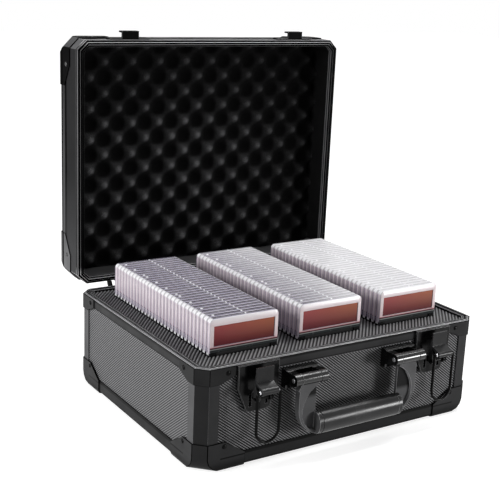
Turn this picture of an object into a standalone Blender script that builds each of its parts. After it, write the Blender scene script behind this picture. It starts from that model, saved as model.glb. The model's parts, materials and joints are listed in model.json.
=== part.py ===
"""Graded card storage case: a black aluminium-framed case whose lid stands open on its hinge stops,
with three rows of card slabs in a foam insert, two loop latches and a drop handle.

Metres, +X to the right along the front, +Y to the back, +Z up. Every piece is drawn in the case's own
frame (X from the middle, Y from the front face, Z from the floor), under an empty that centres the case
on the origin.
"""

import math

import bmesh
import bpy
from mathutils import Matrix, Vector

# Overall case
CASE_WIDTH = 0.352
CASE_DEPTH = 0.278
BASE_HEIGHT = 0.1081
LID_HEIGHT = 0.0502
CORNER_CHAMFER = 0.0105
GAP = 0.0003
CUT_OVERRUN = 0.004
LID_OPEN_ANGLE = math.radians(90.0)

# Corner caps, at the four corners of the floor and of the lid's top
CAP_WALL = 0.001
CAP_HEIGHT = 0.0308
CAP_REACH = 0.053
CAP_SHIELD_REACH = 0.031
CAP_FLOOR_WIDTH = 0.018
CORNER_BALL = 0.014
CORNER_BALL_STEPS = 4

# Bottom rail
RAIL_HEIGHT = 0.015
RAIL_WALL = 0.0012
RAIL_FLANGE = 0.015
RAIL_ROUNDING = 0.0033
RAIL_ROUNDING_STEPS = 2

# Base rim, with the groove that takes the lid's tongue
RIM_HEIGHT = 0.012
RIM_EDGE_BREAK = 0.0008
RIM_LIP_WIDTH = 0.0024
RIM_INNER_EDGE = 0.0076
RIM_GROOVE_DEPTH = 0.0021
RIM_INNER_DROP = 0.0007
RIM_INNER_LIP_WIDTH = 0.002
RIM_WEB = 0.004

# Panels and the posts at the corners
PANEL_THICKNESS = 0.003
PANEL_CLEARANCE = 0.0003
POST_SKIN = 0.0012
POST_FLANGE = 0.0115
POST_LIP = 0.0012

# Small corner brackets on the base rim
BRACKET_WALL = 0.001
BRACKET_REACH = 0.039
BRACKET_DROP = 0.017
BRACKET_TIP_DROP = 0.0105
BRACKET_TOP_GAP = 0.001

# Lid
LID_SKIN = 0.0015
LID_ROUNDING = 0.003
LID_ROUNDING_STEPS = 2
LID_GROOVE_DEPTH = 0.0008
LID_GROOVE_WIDTH = 0.0020
LID_RIM_GROOVE_HEIGHT = 0.004
LID_BACK_GROOVE_HEIGHT = 0.0360
LID_RIM_THICKNESS = 0.006
LID_TONGUE = 0.0015
LID_TOP_FLANGE = 0.015
LINING_THICKNESS = 0.005

# Foam in the lid
FOAM_WAVE = 0.0355
FOAM_PEAK_DEPTH = 0.0270
FOAM_VALLEY_DEPTH = 0.0390
FOAM_STEPS_PER_WAVE = 4
FOAM_START_SHARE = 0.0

# Card slabs
SLAB_WIDTH = 0.080
SLAB_HEIGHT = 0.135
SLAB_PITCH = 0.00745
SLAB_CORNER = 0.0035
SLAB_CORNER_STEPS = 2
SLAB_EDGE = 0.0011
SLAB_GROOVE = 0.0010
ROW_COUNT = 3
ROW_FRONT = 0.0343
ROW_BACK = 0.0276
ROW_SIDE_SHARE = 0.265625
SLAB_FLOOR_GAP = 0.0003
LABEL_WIDTH = 0.0705
LABEL_HEIGHT = 0.0205
LABEL_TOP_DROP = 0.0080
LABEL_RECESS = 0.0016
LABEL_THICKNESS = 0.0007
WINDOW_WIDTH = 0.064
WINDOW_HEIGHT = 0.090
WINDOW_DROP = 0.0350

# Foam insert that holds the rows
INSERT_TOP_DROP = 0.0031
INSERT_FLOOR = 0.0032
SLOT_CLEARANCE = 0.0007
SLOT_LENGTH_SLACK = 0.0025

# Latches
LATCH_SIDE = 0.064
PLATE_TOP_WIDTH = 0.0475
PLATE_BOTTOM_WIDTH = 0.031
PLATE_TOP_GAP = 0.0013
PLATE_TAPER_DROP = 0.0245
PLATE_HEIGHT = 0.0500
PLATE_CORNER = 0.006
PLATE_THICKNESS = 0.0033
PLATE_BREAK = 0.0008
SLOT_SPACING = 0.019
SLOT_WIDTH = 0.0030
SLOT_HEIGHT = 0.013
EAR_HALF_GAP = 0.0060
EAR_THICKNESS = 0.0014
EAR_RADIUS = 0.0036
LEVER_PIVOT_OUT = 0.013
LEVER_PIVOT_DROP = 0.0341
LEVER_PIN_RADIUS = 0.0015
LEVER_PIN_OVERHANG = 0.0008
LEVER_WIDTH = 0.020
LEVER_SHEET = 0.0014
LEVER_FACE_OUT = 0.014
LEVER_TOP_GAP = 0.0010
LEVER_FACE_BOTTOM_DROP = 0.0200
LEVER_CHEEK_RADIUS = 0.0034
LEVER_CHEEK_TOP_DROP = 0.0060
ROLL_OUT = 0.022
ROLL_DROP = 0.0241
ROLL_RADIUS = 0.0036
ROLL_LENGTH = 0.019
BAIL_WIRE_RADIUS = 0.0012
BAIL_HALF_WIDTH = 0.0132
BAIL_LENGTH = 0.053
BAIL_TOP_BEND = 0.0025
BAIL_ARC_STEPS = 10
PIN_CLEARANCE = 0.0004

# Catches on the lid that the latch loops hook over
CATCH_WIDTH = 0.050
CATCH_HEIGHT = 0.0165
CATCH_THICKNESS = 0.0015
CATCH_RIM_GAP = 0.0012
CATCH_END_CHAMFER = 0.005
HOOK_WIDTH = 0.021
HOOK_OUT = 0.0095
HOOK_HEIGHT = 0.0085
HOOK_WALL = 0.0020

# Handle
HANDLE_SIDE = 0.1128
HANDLE_PIVOT_OUT = 0.0200
HANDLE_PIVOT_DROP = 0.0201
MOUNT_WIDTH = 0.0385
MOUNT_ABOVE = 0.0066
MOUNT_BELOW = 0.0135
MOUNT_BASE_OUT = 0.0075
MOUNT_LUG_WIDTH = 0.0075
MOUNT_LUG_RADIUS = 0.0062
MOUNT_EDGE = 0.0012
LUG_FOOT_SHARE = 0.75
HANDLE_PIN_RADIUS = 0.0022
HANDLE_PIN_OVERHANG = 0.0006
BARREL_WIDTH = 0.0225
BARREL_RADIUS = 0.0060
NECK_STEP = 0.0004
ARM_OUTWARD = 0.0148
ARM_INWARD = 0.0142
ARM_SHOULDER_DROP = 0.0100
ARM_WAIST_DROP = 0.0240
ARM_WAIST_RADIUS = 0.0150
ARM_WAIST_STEPS = 5
ARM_THICKNESS = 0.0120
ARM_EDGE = 0.0022
ARM_EDGE_STEPS = 2
HANDLE_DROP = 0.0620
HANDLE_CORNER = 0.024
HANDLE_CORNER_STEPS = 5
GRIP_END_GAP = 0.0004
GRIP_DEPTH = 0.0190
GRIP_HEIGHT = 0.0240
GRIP_SIDES = 20
GRIP_CORE = 0.0090

# Hinges
HINGE_OUT = 0.005
HINGE_DROP = 0.0012
HINGE_SIDE = 0.0475
HINGE_LENGTH = 0.0605
HINGE_TAB_REACH = 0.0078
HINGE_TAB_THICKNESS = 0.0020
HINGE_LEAF_THICKNESS = 0.0015
HINGE_LEAF_HEIGHT = 0.021
HINGE_LEAF_RIM_GAP = 0.0030
HINGE_KNUCKLE_RADIUS = 0.0027
HINGE_KNUCKLE_LENGTH = 0.0150
HINGE_PIN_RADIUS = 0.0012
HINGE_PIN_OVERHANG = 0.0008
HINGE_STOP_OUT = 0.0090
HINGE_STOP_WIDTH = 0.0035

ROUND_SIDES = 16

# Two places nearer than this count as one
TOUCH = 0.00003

# Heights that follow from the sizes above
RAIL_Z = CAP_WALL + GAP
RIM_Z = RAIL_Z + BASE_HEIGHT
RIM_BOTTOM_Z = RIM_Z - RIM_HEIGHT
LID_Z = RIM_Z + GAP
HINGE_OUTER_END = CASE_WIDTH / 2 - HINGE_SIDE
HINGE_INNER_END = HINGE_OUTER_END - HINGE_LENGTH
LATCH_OFFSET = CASE_WIDTH / 2 - LATCH_SIDE
HANDLE_OFFSET = CASE_WIDTH / 2 - HANDLE_SIDE
ARM_OUTER = HANDLE_OFFSET + ARM_OUTWARD
ARM_INNER = HANDLE_OFFSET - ARM_INWARD
GRIP_HALF_LENGTH = ARM_INNER - GRIP_END_GAP
HINGE_Y = CASE_DEPTH + HINGE_OUT
HINGE_Z = RIM_Z + GAP / 2 - HINGE_DROP
PANEL_INSET = POST_SKIN + PANEL_CLEARANCE
PANEL_INNER = PANEL_INSET + PANEL_THICKNESS
FLOOR_PANEL_Z = RAIL_Z + RAIL_WALL + GAP
FLOOR_PANEL_TOP = FLOOR_PANEL_Z + PANEL_THICKNESS
INSERT_Z = FLOOR_PANEL_TOP + GAP
SLAB_Z = INSERT_Z + INSERT_FLOOR + SLAB_FLOOR_GAP
HALF_WIDTH = CASE_WIDTH / 2
SLAB_COUNT = int((CASE_DEPTH - ROW_FRONT - ROW_BACK) / SLAB_PITCH)
ROW_LENGTH = SLAB_PITCH * SLAB_COUNT
SPARE_WIDTH = CASE_WIDTH - ROW_COUNT * SLAB_WIDTH
ROW_SIDE = SPARE_WIDTH * ROW_SIDE_SHARE
ROW_PITCH = SLAB_WIDTH + (SPARE_WIDTH - 2 * ROW_SIDE) / (ROW_COUNT - 1)
FRONT_REACH = HANDLE_PIVOT_OUT + GRIP_DEPTH / 2
BACK_REACH = HINGE_Y + LID_Z - HINGE_Z + LID_HEIGHT + GAP + CAP_WALL
CASE_CENTRE_Y = (BACK_REACH - FRONT_REACH) / 2

# A 45 degree facet loses this share of the inset from each of its legs
FACET_LOSS_SHARE = 2 - math.sqrt(2)

SMOOTH_ANGLE = math.radians(32.0)
SIDES = (("left", -1), ("right", 1))


def clear_scene():
    """Remove every object of the startup scene."""
    for obj in list(bpy.data.objects):
        bpy.data.objects.remove(obj, do_unlink=True)


def new_collection(name):
    """A collection linked to the scene."""
    collection = bpy.data.collections.new(name)
    bpy.context.scene.collection.children.link(collection)
    return collection


def material(name, colour, roughness, metallic=0.0, transmission=0.0):
    """A Principled material."""
    made = bpy.data.materials.new(name)
    made.use_nodes = True
    shader = made.node_tree.nodes["Principled BSDF"]
    shader.inputs["Base Color"].default_value = (*colour, 1.0)
    shader.inputs["Roughness"].default_value = roughness
    shader.inputs["Metallic"].default_value = metallic
    shader.inputs["Transmission Weight"].default_value = transmission
    made.diffuse_color = (*colour, 1.0)
    return made


def empty(name, place, parent=None, turn=(0.0, 0.0, 0.0)):
    """An empty that carries pieces, such as one on a joint's axis."""
    made = bpy.data.objects.new(name, None)
    parts.objects.link(made)
    made.parent = parent
    made.location = place
    made.rotation_euler = turn
    return made


def piece(name, mesh, finish, parent, place=(0.0, 0.0, 0.0), turn=(0.0, 0.0, 0.0), smooth=None):
    """A named object of the part. smooth is the angle under which its faces shade as one."""
    made = bpy.data.objects.new(name, mesh)
    parts.objects.link(made)
    if not mesh.materials:
        mesh.materials.append(finish)
    made.parent = parent
    made.location = place
    made.rotation_euler = turn
    if smooth is not None:
        mesh.shade_smooth()
        mesh.set_sharp_from_angle(angle=smooth)
    return made


def mesh_from(bm, name):
    """The mesh of a bmesh, with its faces turned outwards."""
    bmesh.ops.recalc_face_normals(bm, faces=bm.faces)
    mesh = bpy.data.meshes.new(name)
    bm.to_mesh(mesh)
    bm.free()
    return mesh


def box_mesh(name, low, high):
    """A box between two corners."""
    low, high = Vector(low), Vector(high)
    bm = bmesh.new()
    bmesh.ops.create_cube(bm, size=1.0)
    bmesh.ops.scale(bm, verts=bm.verts, vec=high - low)
    bmesh.ops.translate(bm, verts=bm.verts, vec=(low + high) / 2)
    return mesh_from(bm, name)


def prism_mesh(name, outline, axis, start, end):
    """An outline drawn square to an axis and pulled along it.

    axis "z" takes points (x, y), "y" takes (x, z) and "x" takes (y, z).
    """
    bm = bmesh.new()
    place = {
        "z": lambda a, b, c: (a, b, c),
        "y": lambda a, b, c: (a, c, b),
        "x": lambda a, b, c: (c, a, b),
    }[axis]
    face = bm.faces.new([bm.verts.new(place(a, b, start)) for a, b in outline])
    pulled = bmesh.ops.extrude_face_region(bm, geom=[face])
    moved = [item for item in pulled["geom"] if isinstance(item, bmesh.types.BMVert)]
    bmesh.ops.translate(bm, verts=moved, vec=place(0, 0, end - start))
    return mesh_from(bm, name)


def rod_mesh(name, radius, low, high, y=0.0, z=0.0, sides=ROUND_SIDES):
    """A round bar along X, between two places on that axis."""
    bm = bmesh.new()
    bmesh.ops.create_cone(
        bm, cap_ends=True, segments=sides, radius1=radius, radius2=radius, depth=high - low
    )
    bmesh.ops.rotate(bm, verts=bm.verts, matrix=Matrix.Rotation(math.pi / 2, 3, "Y"))
    bmesh.ops.translate(bm, verts=bm.verts, vec=((low + high) / 2, y, z))
    for vertex in bm.verts:
        vertex.co.x = low if vertex.co.x < (low + high) / 2 else high
    return mesh_from(bm, name)


def break_edges(mesh, width, steps, chosen):
    """Bevel the edges of a mesh for which chosen(edge) is true."""
    bm = bmesh.new()
    bm.from_mesh(mesh)
    edges = [edge for edge in bm.edges if chosen(edge)]
    bmesh.ops.bevel(
        bm, geom=edges, offset=width, offset_type="OFFSET", segments=steps,
        profile=0.5, affect="EDGES", clamp_overlap=True,
    )
    bmesh.ops.recalc_face_normals(bm, faces=bm.faces)
    bm.to_mesh(mesh)
    bm.free()
    return mesh


def cutter(name, mesh):
    """A helper for a Boolean, kept out of the model."""
    made = bpy.data.objects.new(name, mesh)
    cutters.objects.link(made)
    made.hide_render = True
    made.display_type = "WIRE"
    return made


def combined_mesh(name, base, joined=(), cut=(), within=()):
    """One mesh from a base mesh, meshes joined to it, meshes cut from it and meshes it is kept within."""
    bench = bpy.data.objects.new(name, base)
    cutters.objects.link(bench)
    helpers = []
    for operation, meshes in (("UNION", joined), ("DIFFERENCE", cut), ("INTERSECT", within)):
        for number, mesh in enumerate(meshes):
            helper = cutter(f"{name}_{operation.lower()}_{number}", mesh)
            step = bench.modifiers.new(f"{operation} {number}", "BOOLEAN")
            step.operation = operation
            step.solver = "EXACT"
            step.object = helper
            helpers.append(helper)
    bpy.context.view_layer.update()
    graph = bpy.context.evaluated_depsgraph_get()
    made = bpy.data.meshes.new_from_object(bench.evaluated_get(graph))
    made.name = name
    for helper in [bench, *helpers]:
        bpy.data.objects.remove(helper, do_unlink=True)
    return made


def arc(centre, radius, start, end, steps):
    """Points along an arc, angles in radians, both ends included."""
    turn = (end - start) / steps
    return [
        (
            centre[0] + radius * math.cos(start + turn * n),
            centre[1] + radius * math.sin(start + turn * n),
        )
        for n in range(steps + 1)
    ]


def plan_loop(inset):
    """The case's outline seen from above, with its 45 degree corners, moved in by inset."""
    leg = CORNER_CHAMFER - inset * FACET_LOSS_SHARE
    x, near, far = HALF_WIDTH - inset, inset, CASE_DEPTH - inset
    return [
        (-x + leg, near), (x - leg, near), (x, near + leg), (x, far - leg),
        (x - leg, far), (-x + leg, far), (-x, far - leg), (-x, near + leg),
    ]


def ring_mesh(name, section):
    """A closed frame around the case: each section point is (inset, height)."""
    bm = bmesh.new()
    loops = [[bm.verts.new((x, y, z)) for x, y in plan_loop(inset)] for inset, z in section]
    for here, after in zip(loops, loops[1:] + loops[:1]):
        for n in range(len(here)):
            m = (n + 1) % len(here)
            bm.faces.new((here[n], here[m], after[m], after[n]))
    return mesh_from(bm, name)


def corner_plan(offset, reach):
    """Plan of one corner, from the case's square corner at (0, 0), grown outwards by offset."""
    leg = CORNER_CHAMFER + offset * FACET_LOSS_SHARE
    return [
        (-offset, reach), (-offset, leg - offset), (leg - offset, -offset),
        (reach, -offset), (reach, reach),
    ]


def corner_places():
    """Name, place of the square corner in plan and quarter turns, for each corner."""
    return (
        ("front_left", (-HALF_WIDTH, 0), 0),
        ("front_right", (HALF_WIDTH, 0), 1),
        ("back_right", (HALF_WIDTH, CASE_DEPTH), 2),
        ("back_left", (-HALF_WIDTH, CASE_DEPTH), 3),
    )


def rounded_foot(radius, steps):
    """Heights up a rounded foot, from the floor to where its wall stands upright."""
    return [radius * (1 - math.cos(math.pi / 2 * n / steps)) for n in range(steps + 1)]


def drawn_in(radius, rise):
    """How far a rounded foot stands back from its wall at a height above the floor."""
    below = max(radius - rise, 0)
    return radius - math.sqrt(radius ** 2 - below ** 2)


def corner_block(name, offset, reach, low, high):
    """A solid corner grown outwards by offset, on a foot rounded like the rail's along its walls.

    Its 45 degree facet curves under in a larger radius, so that the corner is blunt like a ball.
    """
    edge, ball = RAIL_ROUNDING + offset, CORNER_BALL + offset
    rises = rounded_foot(edge, RAIL_ROUNDING_STEPS) + rounded_foot(ball, CORNER_BALL_STEPS)
    rings = []
    for rise in sorted(set(rises)) + [high - low]:
        wall = drawn_in(edge, rise) - offset
        facet = CORNER_CHAMFER + (drawn_in(ball, rise) - offset) * math.sqrt(2)
        plan = [
            (wall, reach), (wall, facet - wall), (facet - wall, wall), (reach, wall), (reach, reach)
        ]
        rings.append([(x, y, low + rise) for x, y in plan])
    return loft_mesh(name, rings)


def corner_trims(z, up, inset=0.0):
    """Cutters that take a frame's four corners back to the curve inside their caps.

    up is 1 for the base's floor and -1 for the lid's back. inset draws the curve further in.
    """
    centre = CORNER_CHAMFER / math.sqrt(2) + CORNER_BALL
    half, far = centre + CUT_OVERRUN, -CUT_OVERRUN
    outline = [(far, far), (far, CORNER_BALL)]
    outline += arc(
        (centre, CORNER_BALL), CORNER_BALL - inset, math.pi, math.pi * 3 / 2, CORNER_BALL_STEPS
    )
    outline += [(centre, far)]
    trims = []
    for name, (x, y), turns in corner_places():
        trim = prism_mesh(f"trim_{name}", [(d, up * h) for d, h in outline], "y", -half, half)
        turn = Matrix.Rotation(math.pi / 4 + turns * math.pi / 2, 4, "Z")
        trim.transform(Matrix.Translation((x, y, z)) @ turn)
        trims.append(trim)
    return trims


def cap_mesh():
    """Three-way corner cap: a blunt shell with a leg along each edge and a shield between the legs."""
    outer = CAP_WALL + GAP
    wide = CAP_REACH + CUT_OVERRUN
    block = corner_block("corner_cap", outer, CAP_REACH, -outer, CAP_HEIGHT - outer)
    hollow = corner_block("cap_hollow", GAP, wide, -GAP, CAP_HEIGHT + CUT_OVERRUN)
    rail_top = RAIL_HEIGHT + GAP
    top = CAP_HEIGHT + CUT_OVERRUN
    shield = [
        (CAP_SHIELD_REACH, top),
        (CAP_SHIELD_REACH, CAP_HEIGHT - outer - RAIL_WALL),
        (CAP_REACH - CAP_WALL, rail_top),
        (wide, rail_top),
        (wide, top),
    ]
    near, far = -outer - CUT_OVERRUN, CAP_FLOOR_WIDTH
    front = prism_mesh("cap_front", shield, "y", near, far)
    side = prism_mesh("cap_side", shield, "x", near, far)
    floor = box_mesh("cap_floor", (far, far, near), (wide, wide, top))
    return combined_mesh("corner_cap", block, cut=(hollow, front, side, floor))


def rim_bracket_mesh():
    """Thin corner bracket on the base rim, drawn with its top at zero."""
    outer = BRACKET_WALL + GAP
    wide = BRACKET_REACH + CUT_OVERRUN
    block = prism_mesh("rim_bracket", corner_plan(outer, BRACKET_REACH), "z", -BRACKET_DROP, 0)
    low = -BRACKET_DROP - CUT_OVERRUN
    hollow = prism_mesh("bracket_hollow", corner_plan(GAP, wide), "z", low, CUT_OVERRUN)
    post = CORNER_CHAMFER + POST_FLANGE
    web = [
        (post, low),
        (post, -BRACKET_DROP),
        (BRACKET_REACH - BRACKET_WALL, -BRACKET_TIP_DROP),
        (wide, -BRACKET_TIP_DROP),
        (wide, low),
    ]
    near, far = -outer - CUT_OVERRUN, CORNER_CHAMFER
    front = prism_mesh("bracket_front", web, "y", near, far)
    side = prism_mesh("bracket_side", web, "x", near, far)
    return combined_mesh("rim_bracket", block, cut=(hollow, front, side))


def rounded_edge(top_inset, radius, z, steps, upwards):
    """Section points of a frame's rounded outer edge, from the wall to the flat."""
    points = []
    for n in range(steps + 1):
        turn = math.pi / 2 * n / steps
        inset = top_inset + radius * (1 - math.cos(turn))
        rise = radius * (1 - math.sin(turn))
        points.append((inset, z - rise if upwards else z + rise))
    return points


def make_base_frame():
    """Bottom rail, corner posts, rim, panels, rim brackets and the lower corner caps."""
    rail_top = RAIL_Z + RAIL_HEIGHT
    rail = rounded_edge(0, RAIL_ROUNDING, RAIL_Z, RAIL_ROUNDING_STEPS, upwards=False)
    inner = rounded_edge(
        RAIL_WALL, RAIL_ROUNDING - RAIL_WALL, RAIL_Z + RAIL_WALL, RAIL_ROUNDING_STEPS, upwards=False
    )
    section = [(0, rail_top)] + rail
    section += [(RAIL_FLANGE, RAIL_Z), (RAIL_FLANGE, RAIL_Z + RAIL_WALL)]
    section += inner[::-1] + [(RAIL_WALL, rail_top)]
    ring = ring_mesh("bottom_rail", section)
    rail = combined_mesh("bottom_rail", ring, cut=corner_trims(RAIL_Z, 1))
    piece("bottom_rail", rail, black_frame, case)

    lip = RIM_LIP_WIDTH
    inner_edge = RIM_INNER_EDGE
    inner_lip = inner_edge - RIM_INNER_LIP_WIDTH
    inner_z = RIM_Z - RIM_INNER_DROP
    groove_z = RIM_Z - RIM_GROOVE_DEPTH
    leg_in = PANEL_INNER + PANEL_CLEARANCE
    web_z = RIM_Z - RIM_WEB
    section = [
        (0, RIM_BOTTOM_Z), (0, RIM_Z - RIM_EDGE_BREAK), (RIM_EDGE_BREAK, RIM_Z), (lip, RIM_Z),
        (lip, groove_z), (inner_lip, groove_z), (inner_lip, inner_z), (inner_edge, inner_z),
        (inner_edge, RIM_BOTTOM_Z), (leg_in, RIM_BOTTOM_Z), (leg_in, web_z),
        (POST_SKIN, web_z), (POST_SKIN, RIM_BOTTOM_Z),
    ]
    piece("base_rim", ring_mesh("base_rim", section), black_frame, case)

    make_posts(rail_top)
    make_panels(web_z)

    cap = cap_mesh()
    bracket = rim_bracket_mesh()
    for name, (x, y), turns in corner_places():
        turn = (0, 0, turns * math.pi / 2)
        piece(f"base_cap_{name}", cap, black_plastic, case, (x, y, RAIL_Z), turn, SMOOTH_ANGLE)
        top = RIM_Z - BRACKET_TOP_GAP
        piece(f"rim_bracket_{name}", bracket, black_frame, case, (x, y, top), turn)


def make_posts(rail_top):
    """Four extruded corner posts, each a skin around the corner with a lip behind each panel's edge."""
    reach = CORNER_CHAMFER + POST_FLANGE
    outer = corner_plan(0, reach)[:4]
    skin = corner_plan(-POST_SKIN, reach)[:4]
    lip_in = PANEL_INNER + PANEL_CLEARANCE
    lip = corner_plan(-lip_in, reach)[:4]
    back = corner_plan(-lip_in - POST_LIP, reach)[:4]
    stop = lip_in + CORNER_CHAMFER
    outline = outer + [skin[3], (stop, skin[3][1]), (stop, lip[3][1]), lip[3]]
    outline += [back[3], back[2], back[1], back[0], lip[0]]
    outline += [(lip[0][0], stop), (skin[0][0], stop), skin[0]]
    mesh = prism_mesh("corner_post", outline, "z", rail_top + GAP, RIM_BOTTOM_Z - GAP)
    for name, (x, y), turns in corner_places():
        turn = (0, 0, turns * math.pi / 2)
        piece(f"corner_post_{name}", mesh, black_frame, case, (x, y, 0), turn)


def make_panels(web_z):
    """Textured wall panels held between the posts, and the floor panel on the rail's flange."""
    clear = PANEL_INNER + PANEL_CLEARANCE + CORNER_CHAMFER + GAP
    low, high = FLOOR_PANEL_TOP + GAP, web_z - GAP
    x = HALF_WIDTH
    near, far = PANEL_INSET, PANEL_INNER
    edge = x - clear
    walls = {
        "front_panel": ((-edge, near, low), (edge, far, high)),
        "back_panel": ((-edge, CASE_DEPTH - far, low), (edge, CASE_DEPTH - near, high)),
        "left_panel": ((-x + near, clear, low), (-x + far, CASE_DEPTH - clear, high)),
        "right_panel": ((x - far, clear, low), (x - near, CASE_DEPTH - clear, high)),
    }
    for name, (start, end) in walls.items():
        piece(name, box_mesh(name, start, end), textured, case)
    plan = plan_loop(PANEL_INNER + GAP)
    sheet = prism_mesh("floor_panel", plan, "z", FLOOR_PANEL_Z, FLOOR_PANEL_TOP)
    floor = combined_mesh("floor_panel", sheet, cut=corner_trims(RAIL_Z, 1, RAIL_WALL))
    piece("floor_panel", floor, textured, case)


def slab_row_places():
    """Name and middle of each row of slabs."""
    return (("left", -ROW_PITCH), ("middle", 0.0), ("right", ROW_PITCH))


def make_insert():
    """Foam block that fills the base, with a slot for each row."""
    inset = PANEL_INNER + GAP
    neck = RIM_INNER_EDGE + GAP
    shoulder = RIM_BOTTOM_Z - GAP
    top = RIM_Z - INSERT_TOP_DROP
    low_loop = insert_loop(inset + POST_LIP + PANEL_CLEARANCE, inset, CORNER_CHAMFER)
    body = prism_mesh("insert", low_loop, "z", INSERT_Z, shoulder)
    upper = prism_mesh("insert_neck", plan_loop(neck), "z", shoulder - INSERT_FLOOR, top)
    half = SLAB_WIDTH / 2 + SLOT_CLEARANCE
    front = ROW_FRONT - SLOT_CLEARANCE
    back = ROW_FRONT + ROW_LENGTH + SLOT_LENGTH_SLACK
    floor = INSERT_Z + INSERT_FLOOR
    slots = [
        box_mesh(f"slot_{name}", (x - half, front, floor), (x + half, back, top + CUT_OVERRUN))
        for name, x in slab_row_places()
    ]
    mesh = combined_mesh("foam_insert", body, joined=(upper,), cut=slots)
    piece("foam_insert", mesh, dark_foam, case)


def insert_loop(corner_inset, wall_inset, deep):
    """Plan of the foam block: along the panels, drawn in where each post's lip stands."""
    x, y = HALF_WIDTH - wall_inset, CASE_DEPTH - wall_inset
    near = wall_inset
    reach = CORNER_CHAMFER + POST_FLANGE + GAP
    cut_x, cut_y = HALF_WIDTH - reach, CASE_DEPTH - reach
    step = corner_inset - wall_inset
    return [
        (-cut_x, near), (cut_x, near), (cut_x, near + step), (x - step - deep, near + step),
        (x - step, near + step + deep), (x - step, reach), (x, reach), (x, cut_y),
        (x - step, cut_y), (x - step, y - step - deep), (x - step - deep, y - step),
        (cut_x, y - step), (cut_x, y), (-cut_x, y), (-cut_x, y - step),
        (-x + step + deep, y - step), (-x + step, y - step - deep), (-x + step, cut_y),
        (-x, cut_y), (-x, reach), (-x + step, reach), (-x + step, near + step + deep),
        (-x + step + deep, near + step), (-cut_x, near + step),
    ]


def slab_outline(inset):
    """A slab seen from the front, with rounded top corners, about its middle and from its foot."""
    x, low, high = SLAB_WIDTH / 2 - inset, inset, SLAB_HEIGHT - inset
    r = SLAB_CORNER
    right = arc((x - r, high - r), r, 0, math.pi / 2, SLAB_CORNER_STEPS)
    left = arc((-x + r, high - r), r, math.pi / 2, math.pi, SLAB_CORNER_STEPS)
    return [(-x, low), (x, low), *right, *left]


def loft_mesh(name, rings):
    """A closed solid through rings of points (x, y, z), capped at both ends."""
    bm = bmesh.new()
    loops = [[bm.verts.new(point) for point in ring] for ring in rings]
    for here, after in zip(loops, loops[1:]):
        for n in range(len(here)):
            m = (n + 1) % len(here)
            bm.faces.new((here[n], here[m], after[m], after[n]))
    bm.faces.new(loops[0])
    bm.faces.new(loops[-1])
    return mesh_from(bm, name)


def stack_mesh(count):
    """Slabs standing face to face: full width across each, drawn in where two meet."""
    rings = []
    for n in range(count):
        start, end = n * SLAB_PITCH, (n + 1) * SLAB_PITCH
        if n == 0:
            rings.append((SLAB_GROOVE, start))
        rings += [(0, start + SLAB_EDGE), (0, end - SLAB_EDGE), (SLAB_GROOVE, end)]
    return loft_mesh(
        "slab_stack", [[(x, y, z) for x, z in slab_outline(inset)] for inset, y in rings]
    )


def front_slab_mesh():
    """The first slab of a row, with a recess for its label and a shallow card window below it."""
    thick = SLAB_PITCH - GAP
    rings = [(SLAB_GROOVE, 0), (0, SLAB_EDGE), (0, thick - SLAB_EDGE), (SLAB_GROOVE, thick)]
    body = loft_mesh(
        "front_slab", [[(x, y, z) for x, z in slab_outline(inset)] for inset, y in rings]
    )
    half = LABEL_WIDTH / 2 + GAP
    label_top = SLAB_HEIGHT - LABEL_TOP_DROP
    recess = box_mesh(
        "label_recess",
        (-half, -CUT_OVERRUN, label_top - LABEL_HEIGHT - GAP),
        (half, LABEL_RECESS, label_top + GAP),
    )
    half = WINDOW_WIDTH / 2
    window_top = SLAB_HEIGHT - WINDOW_DROP
    window = box_mesh(
        "card_window",
        (-half, -CUT_OVERRUN, window_top - WINDOW_HEIGHT),
        (half, LABEL_RECESS, window_top),
    )
    return combined_mesh("front_slab", body, cut=(recess, window))


def make_slabs():
    """Three rows: a removable front slab with its label, and the stack behind it."""
    stack = stack_mesh(SLAB_COUNT - 1)
    front = front_slab_mesh()
    label_top = SLAB_HEIGHT - LABEL_TOP_DROP
    label = box_mesh(
        "label",
        (-LABEL_WIDTH / 2, LABEL_RECESS - GAP - LABEL_THICKNESS, label_top - LABEL_HEIGHT),
        (LABEL_WIDTH / 2, LABEL_RECESS - GAP, label_top),
    )
    for name, x in slab_row_places():
        row = empty(f"row_{name}", (x, ROW_FRONT, SLAB_Z), case)
        piece(f"slab_stack_{name}", stack, clear_plastic, row, (0, SLAB_PITCH, 0))
        piece(f"front_slab_{name}", front, clear_plastic, row)
        piece(f"slab_label_{name}", label, red_label, row)


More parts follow.
